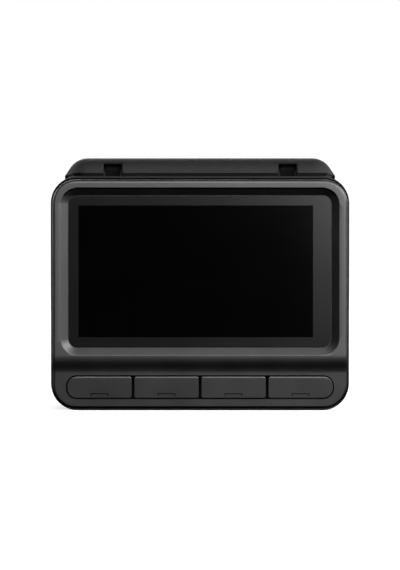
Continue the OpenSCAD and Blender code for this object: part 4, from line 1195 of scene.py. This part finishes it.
def lens_ring():
    """The ring round the lens: a rounded outer edge, and a mouth that narrows in six steps."""
    base = front_y + boss_h + 0.3
    neck_r, throat_r, mouth_r, groove_r = bore_r - 0.05, barrel_out_r + 0.1, ring_r - 1.7, ring_r - 0.18
    crown_r, mouth_y, mouth_deep = 0.6, ring_tip - 0.25, 2.35
    outer = [(neck_r, base), (ring_r - 0.15, base), (ring_r, base + 0.15), (ring_r, base + 1.1),
             (groove_r, base + 1.2), (groove_r, base + 1.5), (ring_r, base + 1.6),
             (ring_r, ring_tip - crown_r)]
    crown = arc(crown_r, 18, 90, 4, (ring_r - crown_r, ring_tip - crown_r))
    crown += [(mouth_r + 0.3, ring_tip), (mouth_r, mouth_y)]
    radii, levels = fan(mouth_r - 0.15, throat_r, 6), fan(mouth_y, mouth_y - mouth_deep, 6)[1:]
    fall = []
    for r, next_r, y in zip(radii, radii[1:], levels):
        fall += [(r, y), (next_r, y - 0.02)]
    inner = [(throat_r, front_y - 2), (neck_r, front_y - 2)]
    return smooth(lathe("lens_ring_turned", outer + crown + fall + inner, z=lens_z, steps=128))


ring_piece = lens_ring()
print("lens ring, mm:", round(ring_r, 2), "mouth's throat:", round(barrel_out_r + 0.1, 2))

# %% [markdown]
# The barrel, the retainer and the front lens are turned about the same line. The lens is a true
# meniscus: its two faces are parts of spheres, given by a square root, so that its highlight has the
# right size. A scaled sphere would give an ellipse, and its highlight would look wrong.

# %% Turn the barrel, the retainer and the front lens
def barrel():
    """The lens barrel: a rounded rim, a step for the lens's seat and a bore that narrows inwards."""
    r, hole, seat_y, end_y = barrel_out_r, front_lens_r + 0.05, front_y - 0.2, barrel_low[1]
    rim = [(r, front_y - 5), (r, rim_y - 0.3), (r - 0.1, rim_y - 0.08), (r - 0.3, rim_y),
           (hole + 0.35, rim_y), (hole, rim_y - 0.25)]
    step_y, neck_y = front_y - 3.2, front_y - 7
    inside = [(hole, seat_y), (5.2, seat_y), (5.2, step_y), (4.2, step_y), (4.2, neck_y), (3.4, neck_y),
              (3.4, end_y), (6, end_y), (6, front_y - 5)]
    return smooth(lathe("barrel_turned", rim + inside, z=lens_z, steps=128))


def retainer():
    """The ring that holds the front lens, with a sloping mouth."""
    r0, r1 = front_lens_r - 0.7, front_lens_r - 0.03
    y0, y1 = front_y + 1.5, rim_y - 0.05
    profile = [(r0, y0), (r0, y0 + 0.2), (r0 + 0.3, y1), (r1, y1), (r1, y0)]
    return smooth(lathe("retainer_turned", profile, z=lens_z, steps=96))


def dome_lens():
    """The front lens: a dome of radius 12 in front and a bowl of radius 8 behind."""
    dome_r, bowl_r, seat_y = 12, 8, front_lens_low[1]
    rim_r, bowl_rim = front_lens_r, 5.15
    bowl_y = seat_y - math.sqrt(bowl_r ** 2 - bowl_rim ** 2)
    dome = [(r, lens_vertex - dome_r + math.sqrt(dome_r ** 2 - r ** 2)) for r in fan(0.0, rim_r, 14)]
    bowl = [(r, bowl_y + math.sqrt(bowl_r ** 2 - r ** 2)) for r in fan(bowl_rim, 0, 10)]
    piece = lathe("front_lens_turned", dome + [(rim_r, seat_y)] + bowl, z=lens_z, closed=False)
    return smooth(piece, angle=50)


barrel_piece, retainer_piece, lens_piece = barrel(), retainer(), dome_lens()
print("front lens radius, mm:", round(front_lens_r, 2))

# %% [markdown]
# The memory card's end shows in its slot, so it gets what a real card has: a corner cut off, soft
# edges and small grooves for a fingernail. An extruded outline with a ring more at each face gives
# the soft edges without a bevel.

# %% The memory card
card_cut, card_edge, card_soft = 2.5, 0.15, 0.1
grip_half_w, grip_half_l, grip_pitch, grip_in = 0.14, 3.6, 0.55, 0.9


def card_outline(inset):
    """Outline of the card with one corner cut off, taken in by an inset."""
    x0, x1 = card_low[0] + inset, card_high[0] - inset
    z0, z1 = card_low[2] + inset, card_high[2] - inset
    cut = card_cut - inset * 0.6
    return [(x0, z0), (x1, z0), (x1, z1), (x0 + cut, z1), (x0, z1 - cut)]


def grip_groove(index):
    """One of the grip grooves near the card's outer end."""
    outline = rounded(grip_half_w, card_z - grip_half_l, card_z + grip_half_l, grip_half_w - 0.01,
                      x0=card_high[0] - grip_in - grip_pitch * index, steps=3)
    return prism("grip_groove", outline, card_low[1] - 0.1, card_low[1] + 0.12)


y0, y1 = card_low[1], card_high[1]
card_steps = ((card_edge, y0), (0, y0 + card_soft), (0, y1 - card_soft), (card_edge, y1))
card_plate = loft("card_plate", [ring_at(y, card_outline(inset)) for inset, y in card_steps])
card_plate = smooth(boolean(card_plate, [grip_groove(i) for i in range(3)]))
print("card faces:", len(card_plate.data.polygons))

# %% [markdown]
# ## Writing materials as sums
# A material's pattern is arithmetic on sockets. The small class below wraps one socket and turns
# `+`, `*` or `<` into Math nodes, so a pattern reads like a formula. Any other node comes from one
# method that takes its settings and its inputs.

# %% A socket that can be added and multiplied
class Value:
    """One output socket of a material, used in plain Python expressions."""

    def __init__(self, tree, socket):
        self.tree = tree
        self.socket = socket

    def node(self, kind, settings=None, inputs=None, output=0):
        """Adds a node of a kind, sets it, feeds its inputs, and returns one of its outputs."""
        made = self.tree.nodes.new("ShaderNode" + kind)
        for key, value in (settings or {}).items():
            if key == "stops":
                while len(made.color_ramp.elements) < len(value):
                    made.color_ramp.elements.new(0.5)
                for element, (at, colour) in zip(made.color_ramp.elements, value):
                    element.position, element.color = at, (*colour, 1)
            else:
                setattr(made, key, value)
        for key, value in (inputs or {}).items():
            feed(self.tree, made.inputs[key], value)
        return Value(self.tree, made.outputs[output])

    def math(self, operation, *values):
        """A Math node's result."""
        return self.node("Math", {"operation": operation}, dict(enumerate(values)))

    def __add__(self, other): return self.math("ADD", self, other)
    def __radd__(self, other): return self.math("ADD", other, self)
    def __sub__(self, other): return self.math("SUBTRACT", self, other)
    def __rsub__(self, other): return self.math("SUBTRACT", other, self)
    def __mul__(self, other): return self.math("MULTIPLY", self, other)
    def __rmul__(self, other): return self.math("MULTIPLY", other, self)
    def __truediv__(self, other): return self.math("DIVIDE", self, other)
    def __rtruediv__(self, other): return self.math("DIVIDE", other, self)
    def __pow__(self, other): return self.math("POWER", self, other)
    def __neg__(self): return self.math("MULTIPLY", self, -1)
    def __abs__(self): return self.math("ABSOLUTE", self)
    def __lt__(self, other): return self.math("LESS_THAN", self, other)
    def __gt__(self, other): return self.math("GREATER_THAN", self, other)

    def parts(self):
        """The three components of a vector."""
        split = self.node("SeparateXYZ", {}, {0: self}).socket.node
        return [Value(self.tree, output) for output in split.outputs]

    def between(self, low, high):
        """0 below low, 1 above high, and a smooth step between them."""
        return self.node("MapRange", {"interpolation_type": "SMOOTHSTEP"}, {0: self, 1: low, 2: high})

    def larger(self, other):
        """The larger of two values; as masks, the one or the other."""
        return self.math("MAXIMUM", self, other)

    def smaller(self, other):
        """The smaller of two values."""
        return self.math("MINIMUM", self, other)

    def mix(self, first, second):
        """A colour between two, with this value as the factor."""
        return self.node("Mix", {"data_type": "RGBA"}, {0: self, 6: first, 7: second}, output=2)


print("operators ready:", [n for n in vars(Value) if n.startswith("__r")])

# %% Feed a socket
def feed(tree, socket, value):
    """Links a Value to a socket, or writes a number or colour on it."""
    if isinstance(value, Value):
        tree.links.new(value.socket, socket)
    elif socket.type == "RGBA":
        socket.default_value = (*value, 1) if len(value) == 3 else value
    else:
        socket.default_value = value


print("a socket takes a Value, a number or a colour")

# %% [markdown]
# ## Finishes
# Each finish is one Principled shader. Moulded plastic has a fine spark-eroded grain that breaks up
# its reflection, a slow drift in colour, and smoother patches where it is handled. Those three
# patterns are shared by most of the parts, so one function makes them, and each finish says how
# large and how strong they are.

# %% One function for grained surfaces
finishes = {}


def start_finish(name):
    """A new material; returns its tree, its shader node and the piece's own coordinates."""
    material = bpy.data.materials.new(name)
    material.use_nodes = True
    tree = material.node_tree
    shader = tree.nodes["Principled BSDF"]
    place = Value(tree, tree.nodes.new("ShaderNodeTexCoord").outputs["Object"])
    finishes[name] = material
    return tree, shader, place


def grained(name, colour, roughness, metallic=0.0, drift=0.25, drift_mm=9.0, grain_mm=0.16,
            grain_h=0.006, rough_drift=0.08, specular=0.5, stretch=(1, 1, 1)):
    """A finish with a fine grain, a slow drift of colour and a slow drift of gloss."""
    tree, shader, place = start_finish(name)
    place = place.node("Mapping", {}, {"Vector": place, "Scale": stretch})
    slow = place.node("TexNoise", {}, {"Vector": place, "Scale": 1 / (drift_mm * MM), "Detail": 3})
    fine = place.node("TexNoise", {}, {"Vector": place, "Scale": 1 / (grain_mm * MM), "Detail": 2,
                                       "Roughness": 0.6})
    dark = [c * (1 - drift) for c in colour]
    light = [min(1, c * (1 + drift)) for c in colour]
    feed(tree, shader.inputs["Base Color"], (slow * 0.6 + fine * 0.4).mix(dark, light))
    gloss = (slow - 0.5) * 2 * rough_drift + (fine - 0.5) * rough_drift
    feed(tree, shader.inputs["Roughness"], gloss + roughness)
    bump = place.node("Bump", {}, {"Strength": 1.0, "Distance": grain_h * MM, "Height": fine})
    feed(tree, shader.inputs["Normal"], bump)
    shader.inputs["Metallic"].default_value = metallic
    shader.inputs["Specular IOR Level"].default_value = specular
    return finishes[name]


def place_on(name):
    """The three coordinates on a piece with this finish."""
    tree = finishes[name].node_tree
    return Value(tree, tree.nodes.new("ShaderNodeTexCoord").outputs["Object"]).parts()


def change(name, socket, make):
    """Feeds a shader's socket with what a function makes of the value that it has now."""
    tree = finishes[name].node_tree
    target = tree.nodes["Principled BSDF"].inputs[socket]
    now = Value(tree, target.links[0].from_socket) if target.links else target.default_value
    feed(tree, target, make(now))


print("finish makers ready")

# %% [markdown]
# A gap between two mouldings looks darker than the plastic, because light that goes in does not come
# out. The gaps here are real, but large soft lamps still reach their walls and make them shine, so
# shade is painted on: a mask paints shade on the walls of gaps, and on faces that turn away from the
# lamps, such as the slope above the glass, which faces down. Black as a metal's colour reflects nearly
# nothing, so the mask feeds Metallic.
# Each mask is a product of comparisons of the piece's coordinates, which are those of the CAD model.
# A painted image would need an unwrapped mesh; comparisons follow the sizes by themselves.

# %% The rear frame's finish
grained("shell_black", (0.0009, 0.0009, 0.0009), 0.46, grain_mm=0.12, grain_h=0.002, specular=1.0)
x, y, z = place_on("shell_black")
corner_x = (abs(x) - (half_body - corner_r) * MM).larger(0)
corner_z = (abs(z - body_h / 2 * MM) - (body_h / 2 - corner_r) * MM).larger(0)
from_edge = corner_r * MM - (corner_x * corner_x + corner_z * corner_z) ** 0.5
low_part = 1 - z.between(roll_z0 * MM, roll_z1 * MM)
lean_back = ((roll_z0 * MM - z) * key_lean).larger(0)
behind_face = y - rear_y * MM - low_part * key_step * MM - lean_back
# Painted shade: the side walls just behind the face and the walls of the key slot, and half as much on
# the slope above the glass, which gets the full painted shade near the face.
side_wall_shade = (from_edge < 2.2 * MM) * behind_face.between(0.3 * MM, 0.65 * MM)
top_slope_shade = (z > (glass_z + glass_half_h) * MM) * (from_edge > 3 * MM) * (behind_face > 0.02 * MM)
in_slot = (abs(z - slot_z * MM) < 4.2 * MM) * (abs(x) < (slot_half_w + 0.5) * MM)
in_slot = in_slot * (behind_face > 0.75 * MM)
near_mouth = behind_face < 0.2 * MM
# All the painted shade of the rear frame, which goes into Metallic below.
shell_painted_shade = (side_wall_shade.larger(in_slot) * 0.9).larger(top_slope_shade * (0.5 + near_mouth * 0.5))
change("shell_black", "Metallic", lambda _: shell_painted_shade)
change("shell_black", "Roughness", lambda now: now - (z < roll_z0 * MM) * 0.03)
print("dark on the rear frame: its side walls, the slope above the glass and the key slot")

# %% [markdown]
# Masks paint shade in the other gaps too, and tell them apart by what makes each of them. The trough
# is a distance from the hinge axis, the groove is a range of depths, and the underside of the barrel
# is both. The upper strip of the housing's rim gets painted shade as well. They only change Metallic
# and Roughness, so the grain stays the same everywhere.

# %% The housing's finish
def from_hinge(y, z):
    """Distance of a place from the hinge axis."""
    return ((y - axis_y * MM) ** 2 + (z - axis_z * MM) ** 2) ** 0.5


grained("housing_black", (0.0025, 0.0025, 0.0025), 0.5, grain_mm=0.22, grain_h=0.008, specular=0.5)
x, y, z = place_on("housing_black")
beside_ear = abs(abs(x) - ear_x * MM)
on_ears = (beside_ear < (ear_w / 2 + 0.3) * MM) * (z > (axis_z - 1) * MM) * (y > (split_y + 2) * MM)
at_rim = (abs(x) > (half_body - 0.7) * MM) * (y < (split_y + 1) * MM)
in_body = (abs(x) < (half_body - 0.06) * MM) * (z < (body_h - 0.35) * MM) * (z > 0.35 * MM)
in_groove = in_body * (y > (split_y + 0.2) * MM) * (y < (split_y + 1.1) * MM)
in_trough = from_hinge(y, z) < (trough_r + 0.15) * MM
rim_strip_shade = (y < (split_y + 0.16) * MM) * (z > (body_h / 2) * MM)
# Painted shade: the trough, less of it on the ears, the groove, and half as much on the upper strip of
# the rim.
housing_painted_shade = (in_trough - in_trough * on_ears * 0.35).larger(in_groove).larger(rim_strip_shade * 0.5)
matt = (on_ears + at_rim).smaller(1)
change("housing_black", "Metallic", lambda _: housing_painted_shade)
change("housing_black", "Roughness", lambda now: now * (1 - matt) + matt)
print("dark on the housing: the trough, the groove and the strip of its rim; matt: ears and rim")

# %% [markdown]
# The mount is textured more coarsely than the body, as a part that is touched at every adjustment
# often is, and the keys are smoother than both. Their masks paint shade on what faces a gap: the
# notches, what lies under the parting line, and the sides of the keys.

# %% The mount's finish and the keys' finish
grained("mount_black", (0.009, 0.009, 0.009), 0.68, grain_mm=0.45, grain_h=0.14, specular=0.31)
x, y, z = place_on("mount_black")
out = from_hinge(y, z)
low_and_near = (z < (axis_z + 0.92) * MM) * (y < (axis_y - 3) * MM)
shade_under_line = (out < (barrel_r - step_in + 0.02) * MM) * low_and_near
notch_shade = (abs(abs(x) - ear_x * MM) < (notch_w / 2 + 0.12) * MM) * (out < (barrel_r - 0.45) * MM)
# Painted shade under the barrel's parting line and in the notches.
change("mount_black", "Metallic", lambda _: (shade_under_line + notch_shade).smaller(1))
grained("key_black", (0.0009, 0.0009, 0.0009), 0.445, grain_mm=0.16, grain_h=0.003, specular=0.85)
x, y, z = place_on("key_black")
below_face = y - key_face_y * MM - (slot_high_z * MM - z) * key_lean
# Painted shade on the sides of the keys, deeper than 0.15 mm behind their faces.
change("key_black", "Metallic", lambda _: below_face > 0.15 * MM)
print("dark on the mount: under its parting line and in its notches; on the keys: their sides")

# %% [markdown]
# The card's gold contacts are a print on its far side, too thin to model. The strips repeat along
# the card, so the fractional part of a division tells where in a strip a place is.

# %% The card's finish
contact_end, contact_pitch, contact_share = 4.4, 1.1, 0.74
grained("card_black", (0.012, 0.012, 0.014), 0.38, grain_mm=0.1, grain_h=0.002)
x, y, z = place_on("card_black")
along = (z - (card_z - contact_end) * MM) / (contact_pitch * MM)
on_strips = along.math("FRACT", along) < contact_share
near_end = (x < (card_low[0] + 3.2) * MM) * (x > (card_low[0] + 0.6) * MM)
inside = (y > (card_high[1] - 0.05) * MM) * (abs(z - card_z * MM) < contact_end * MM)
contact = on_strips * near_end * inside
change("card_black", "Base Color", lambda now: contact.mix(now, (0.76, 0.58, 0.26)))
change("card_black", "Metallic", lambda _: contact)
print("contacts on the card:", int(2 * contact_end / contact_pitch))

# %% [markdown]
# The other parts need only their base colour, their gloss and the size of their grain. Brushed metal
# is the same grain, stretched along the direction in which the sheet was rolled.

# %% The other finishes
grained("barrel_black", (0.008, 0.008, 0.009), 0.4, grain_mm=0.1, grain_h=0.003)
grained("speaker_black", (0.012, 0.012, 0.013), 0.6)
grained("chip_black", (0.018, 0.018, 0.02), 0.5, grain_mm=0.08)
grained("seal_rubber", (0.012, 0.012, 0.012), 0.75, grain_mm=0.3, grain_h=0.01)
grained("pad_foam", (0.05, 0.05, 0.052), 0.9, grain_mm=0.35, grain_h=0.08, drift=0.35)
grained("washer_black", (0.005, 0.005, 0.005), 0.6, specular=0.2)
grained("nub_white", (0.8, 0.8, 0.78), 0.4, drift=0.04)
grained("panel_metal", (0.55, 0.56, 0.58), 0.35, metallic=1, stretch=(1, 1, 12))
grained("sheet_metal", (0.6, 0.61, 0.62), 0.38, metallic=1, stretch=(14, 1, 1))
grained("screw_steel", (0.14, 0.14, 0.15), 0.35, metallic=1, grain_mm=0.1)
grained("shield_tin", (0.68, 0.68, 0.66), 0.42, metallic=1)
grained("socket_metal", (0.62, 0.63, 0.64), 0.28, metallic=1, stretch=(1, 1, 8))
grained("ring_metal", (0.16, 0.165, 0.175), 0.3, metallic=1, grain_mm=0.08, grain_h=0.001)
grained("mesh_metal", (0.09, 0.09, 0.095), 0.4, metallic=1)
grained("microphone_gold", (0.76, 0.58, 0.26), 0.3, metallic=1)
grained("antenna_copper", (0.72, 0.38, 0.2), 0.35, metallic=1)
grained("antenna_ceramic", (0.52, 0.38, 0.24), 0.55)
grained("thermal_blue", (0.22, 0.3, 0.42), 0.7, grain_mm=0.5, grain_h=0.03)
grained("capacitor_sleeve", (0.03, 0.07, 0.2), 0.3)
grained("dark_film", (0.012, 0.012, 0.013), 0.6)
grained("flex_film", (0.5, 0.2, 0.06), 0.35)
grained("board_green", (0.004, 0.02, 0.011), 0.35, specular=0.25)
grained("lens_glass", (0.02, 0.025, 0.05), 0.03, grain_h=0, rough_drift=0.01)
grained("filter_glass", (0.2, 0.45, 0.42), 0.05, grain_h=0, rough_drift=0.01)
grained("sensor_glass", (0.04, 0.06, 0.09), 0.08, grain_h=0, rough_drift=0.01)
print("finishes made:", len(finishes))

# %% [markdown]
# The cover glass is printed black behind its edge, and the panel behind the clear middle is blacker
# still while it is off. One material holds both, as in the real sheet: the same mask sets the colour
# and the gloss, so the border of the picture stays exact.

# %% The printed cover glass
def printed_glass():
    """Black glass: a grey print round the edge, and the darker picture area behind clear glass."""
    tree, shader, place = start_finish("cover_glass")
    x, _, z = place.parts()
    margin = 1.2
    picture_half_w = (panel_high[0] - panel_low[0]) / 2 - margin
    picture_half_h = (panel_high[2] - panel_low[2]) / 2 - margin
    picture_x = (panel_low[0] + panel_high[0]) / 2
    beside = abs(x - picture_x * MM) > picture_half_w * MM
    above_or_below = abs(z - glass_z * MM) > picture_half_h * MM
    slow = place.node("TexNoise", {}, {"Vector": place, "Scale": 60, "Detail": 2})
    border = slow.mix((0.003, 0.003, 0.003), (0.005, 0.005, 0.005))
    picture = slow.mix((0.0004, 0.0004, 0.0004), (0.0007, 0.0007, 0.0007))
    print_area = (beside + above_or_below).smaller(1)
    feed(tree, shader.inputs["Base Color"], print_area.mix(picture, border))
    feed(tree, shader.inputs["Roughness"], print_area * 0.13 + slow * 0.02 + 0.09)
    shader.inputs["Specular IOR Level"].default_value = 0.4
    return finishes["cover_glass"]


printed_glass()
print("glass print made")

# %% [markdown]
# ## Putting the pieces in their places
# Every piece is already drawn where it belongs, so nothing is moved. It only has to be told which
# body it rides on, so that it turns or slides with the CAD part, and which CAD nodes it stands for,
# so that they are hidden. Parts without a skin, such as boards and chips, are CAD nodes with paint.

# %% Paint every piece, set the body it rides on, and hide the CAD nodes it stands for
record = frame["record"]
slots = {part["node"]: part["material_slot"] for part in record["subparts"]}


def dress(piece, slot, body, *nodes):
    """Gives a piece the finish named by slot and its body, and lets it stand for CAD nodes."""
    piece.data.materials.clear()
    piece.data.materials.append(finishes[slot])
    for face in piece.data.polygons:
        face.material_index = 0
    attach(piece, body)
    if nodes:
        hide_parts(*nodes)
    return piece


dress(rear_frame, "shell_black", "casing", "rear_shell")
dress(housing, "housing_black", "casing", "front_housing")
dress(mount_arm, "mount_black", "mount", "mount_shell")
dress(card_plate, slots["memory_card"], "card", "memory_card")
dress(cover, "mount_black", "mount", "mount_cover")
dress(pad, "pad_foam", "mount", "adhesive_pad")
dress(mount_screws, slots["mount_screws"], "mount", "mount_screws")
dress(case_screws, slots["case_screws"], "casing", "case_screws")
dress(glass, "cover_glass", "casing", "display_glass")
for name, cap in zip(key_names, key_caps):
    dress(cap, "key_black", name + "_key_body", name + "_key")
dress(ring_piece, "ring_metal", "casing", "lens_ring")
dress(barrel_piece, "barrel_black", "casing", "lens_barrel")
dress(retainer_piece, "barrel_black", "casing", "lens_retainer")
dress(lens_piece, "lens_glass", "casing", "front_lens")

for part in record["subparts"]:
    node = frame["nodes"][part["node"]]
    node.data.materials.clear()
    node.data.materials.append(finishes[part["material_slot"]])
print("pieces dressed, and CAD nodes painted:", len(record["subparts"]))

# %% [markdown]
# ## Floor, background and lamps
# The camera stands on a white table in front of a white wall. A real wall would light the black
# plastic from all sides and wash it out, so floor and world are white only to the rays that should
# see them: those from the camera, and those that glance off or pass through towards the back.

# %% Which rays see the white background
def ray_kinds(tree):
    """The Light Path outputs for camera, glossy and transmission rays."""
    path = tree.nodes.new("ShaderNodeLightPath")
    kinds = ("Camera", "Glossy", "Transmission")
    return [Value(tree, path.outputs["Is %s Ray" % kind]) for kind in kinds]


def floor_finish():
    """Pale floor: full white far away, and a soft pale grey near the object that keeps its shadow."""
    tree, shader, place = start_finish("pale_floor")
    seen, glossy, through = ray_kinds(tree)
    x, y, z = place.parts()
    away = (x * x + y * y) ** 0.5
    white = seen.larger((glossy + through) * y.between(0.3, 0.6))
    feed(tree, shader.inputs["Base Color"], white.mix((0.004, 0.004, 0.004), (0.8, 0.8, 0.8)))
    shader.inputs["Roughness"].default_value = 0.9
    shader.inputs["Specular IOR Level"].default_value = 0.0
    shader.inputs["Emission Color"].default_value = (1, 1, 1, 1)
    feed(tree, shader.inputs["Emission Strength"], white * (away.between(0.05, 0.5) * 0.4 + 0.6))
    return finishes["pale_floor"]


floor_half = 3
floor_corners = [(x * floor_half, y * floor_half, 0) for x, y in ((-1, -1), (1, -1), (1, 1), (-1, 1))]
floor_mesh = bpy.data.meshes.new("floor")
floor_mesh.from_pydata(floor_corners, [], [(0, 1, 2, 3)])
floor_mesh.materials.append(floor_finish())
floor = bpy.data.objects.new("floor", floor_mesh)
bpy.context.scene.collection.objects.link(floor)

# %% [markdown]
# The world is the wall. A large lit plane could stand in for it, but it would also light the object
# from behind; the Light Path node lets the world be white to the camera and dim to everything else.

# %% A white world behind, dim elsewhere
world = bpy.data.worlds.new("studio")
bpy.context.scene.world = world
world.use_nodes = True
world_tree = world.node_tree
background = world_tree.nodes["Background"]
seen, glossy, through = ray_kinds(world_tree)
toward = Value(world_tree, world_tree.nodes.new("ShaderNodeTexCoord").outputs["Generated"])
behind = toward.parts()[1].between(0.6, 0.95)
white = seen.larger((glossy + through) * behind)
room_level = 0.008
background.inputs["Color"].default_value = (1, 1, 1, 1)
feed(world_tree, background.inputs["Strength"], white.larger(room_level))
print("world nodes:", len(world_tree.nodes))

# %% [markdown]
# Black plastic shows almost nothing but its reflections, so the lamps draw the shape. A tall softbox
# above the camera lights what faces forwards or up, and leaves what faces down nearly black. One on
# the right makes the right-facing slopes brighter than the left-facing ones, and a small card close
# to the camera gives the screen its sheen. Three more stand behind and at the sides, so that the
# edges and the road side have shape too. Area lamps do this with less noise than glowing planes.

# %% Softboxes
centre = Vector((0, 0, 0.035))


def softbox(name, azimuth, elevation, distance, size, radiance):
    """A soft rectangular lamp aimed at the object. Azimuth 0 is the display side, 90 the right."""
    light = bpy.data.lights.new(name, "AREA")
    light.shape = "RECTANGLE"
    light.size, light.size_y = size
    light.energy = radiance * math.pi * size[0] * size[1]
    turn, rise = math.radians(azimuth), math.radians(elevation)
    offset = Vector((math.sin(turn) * math.cos(rise), -math.cos(turn) * math.cos(rise), math.sin(rise)))
    lamp = bpy.data.objects.new(name, light)
    bpy.context.scene.collection.objects.link(lamp)
    lamp.location = centre + offset * distance
    lamp.rotation_euler = offset.to_track_quat("Z", "Y").to_euler()
    return lamp


softbox("front_softbox", 2, 30, 0.75, (0.5, 0.4), 5.7)
softbox("right_softbox", 55, 27, 0.75, (0.4, 0.4), 11)
softbox("screen_card", 17, 10, 0.4, (0.12, 0.12), 11)
softbox("back_softbox", 187, 30, 0.75, (0.5, 0.35), 4)
softbox("left_softbox", 248, 18, 0.75, (0.3, 0.35), 9)
softbox("right_edge_softbox", 112, 18, 0.75, (0.3, 0.35), 7)

# %% [markdown]
# The lens is long and the camera far away, so that upright edges stay upright and the depth of the
# body hardly shows. It looks down by two degrees, which is enough to see the top of the mount. The
# focal length follows from the height that should fill the picture, so either can be changed alone.

# %% Camera
frame_h = 0.1612
distance = 1.6
film_h = 24
target_z = 0.03574
camera_data = bpy.data.cameras.new("camera")
camera = bpy.data.objects.new("camera", camera_data)
bpy.context.scene.collection.objects.link(camera)
camera_data.sensor_fit = "VERTICAL"
camera_data.sensor_height = film_h
rise = math.radians(2)
target = Vector((0, rear_y * MM, target_z))
camera.location = target + Vector((0, -distance * math.cos(rise), distance * math.sin(rise)))
camera.rotation_euler = (math.radians(90) - rise, 0, 0)
camera_data.lens = film_h * distance / frame_h
camera_data.clip_end = 20
bpy.context.scene.camera = camera
bpy.context.scene.view_settings.view_transform = "Standard"
print("focal length, mm:", round(camera_data.lens))

# %% [markdown]
# The box of the dressed model should agree with the box of the CAD model: a skin that stands out of
# its CAD part would touch what the CAD part clears.
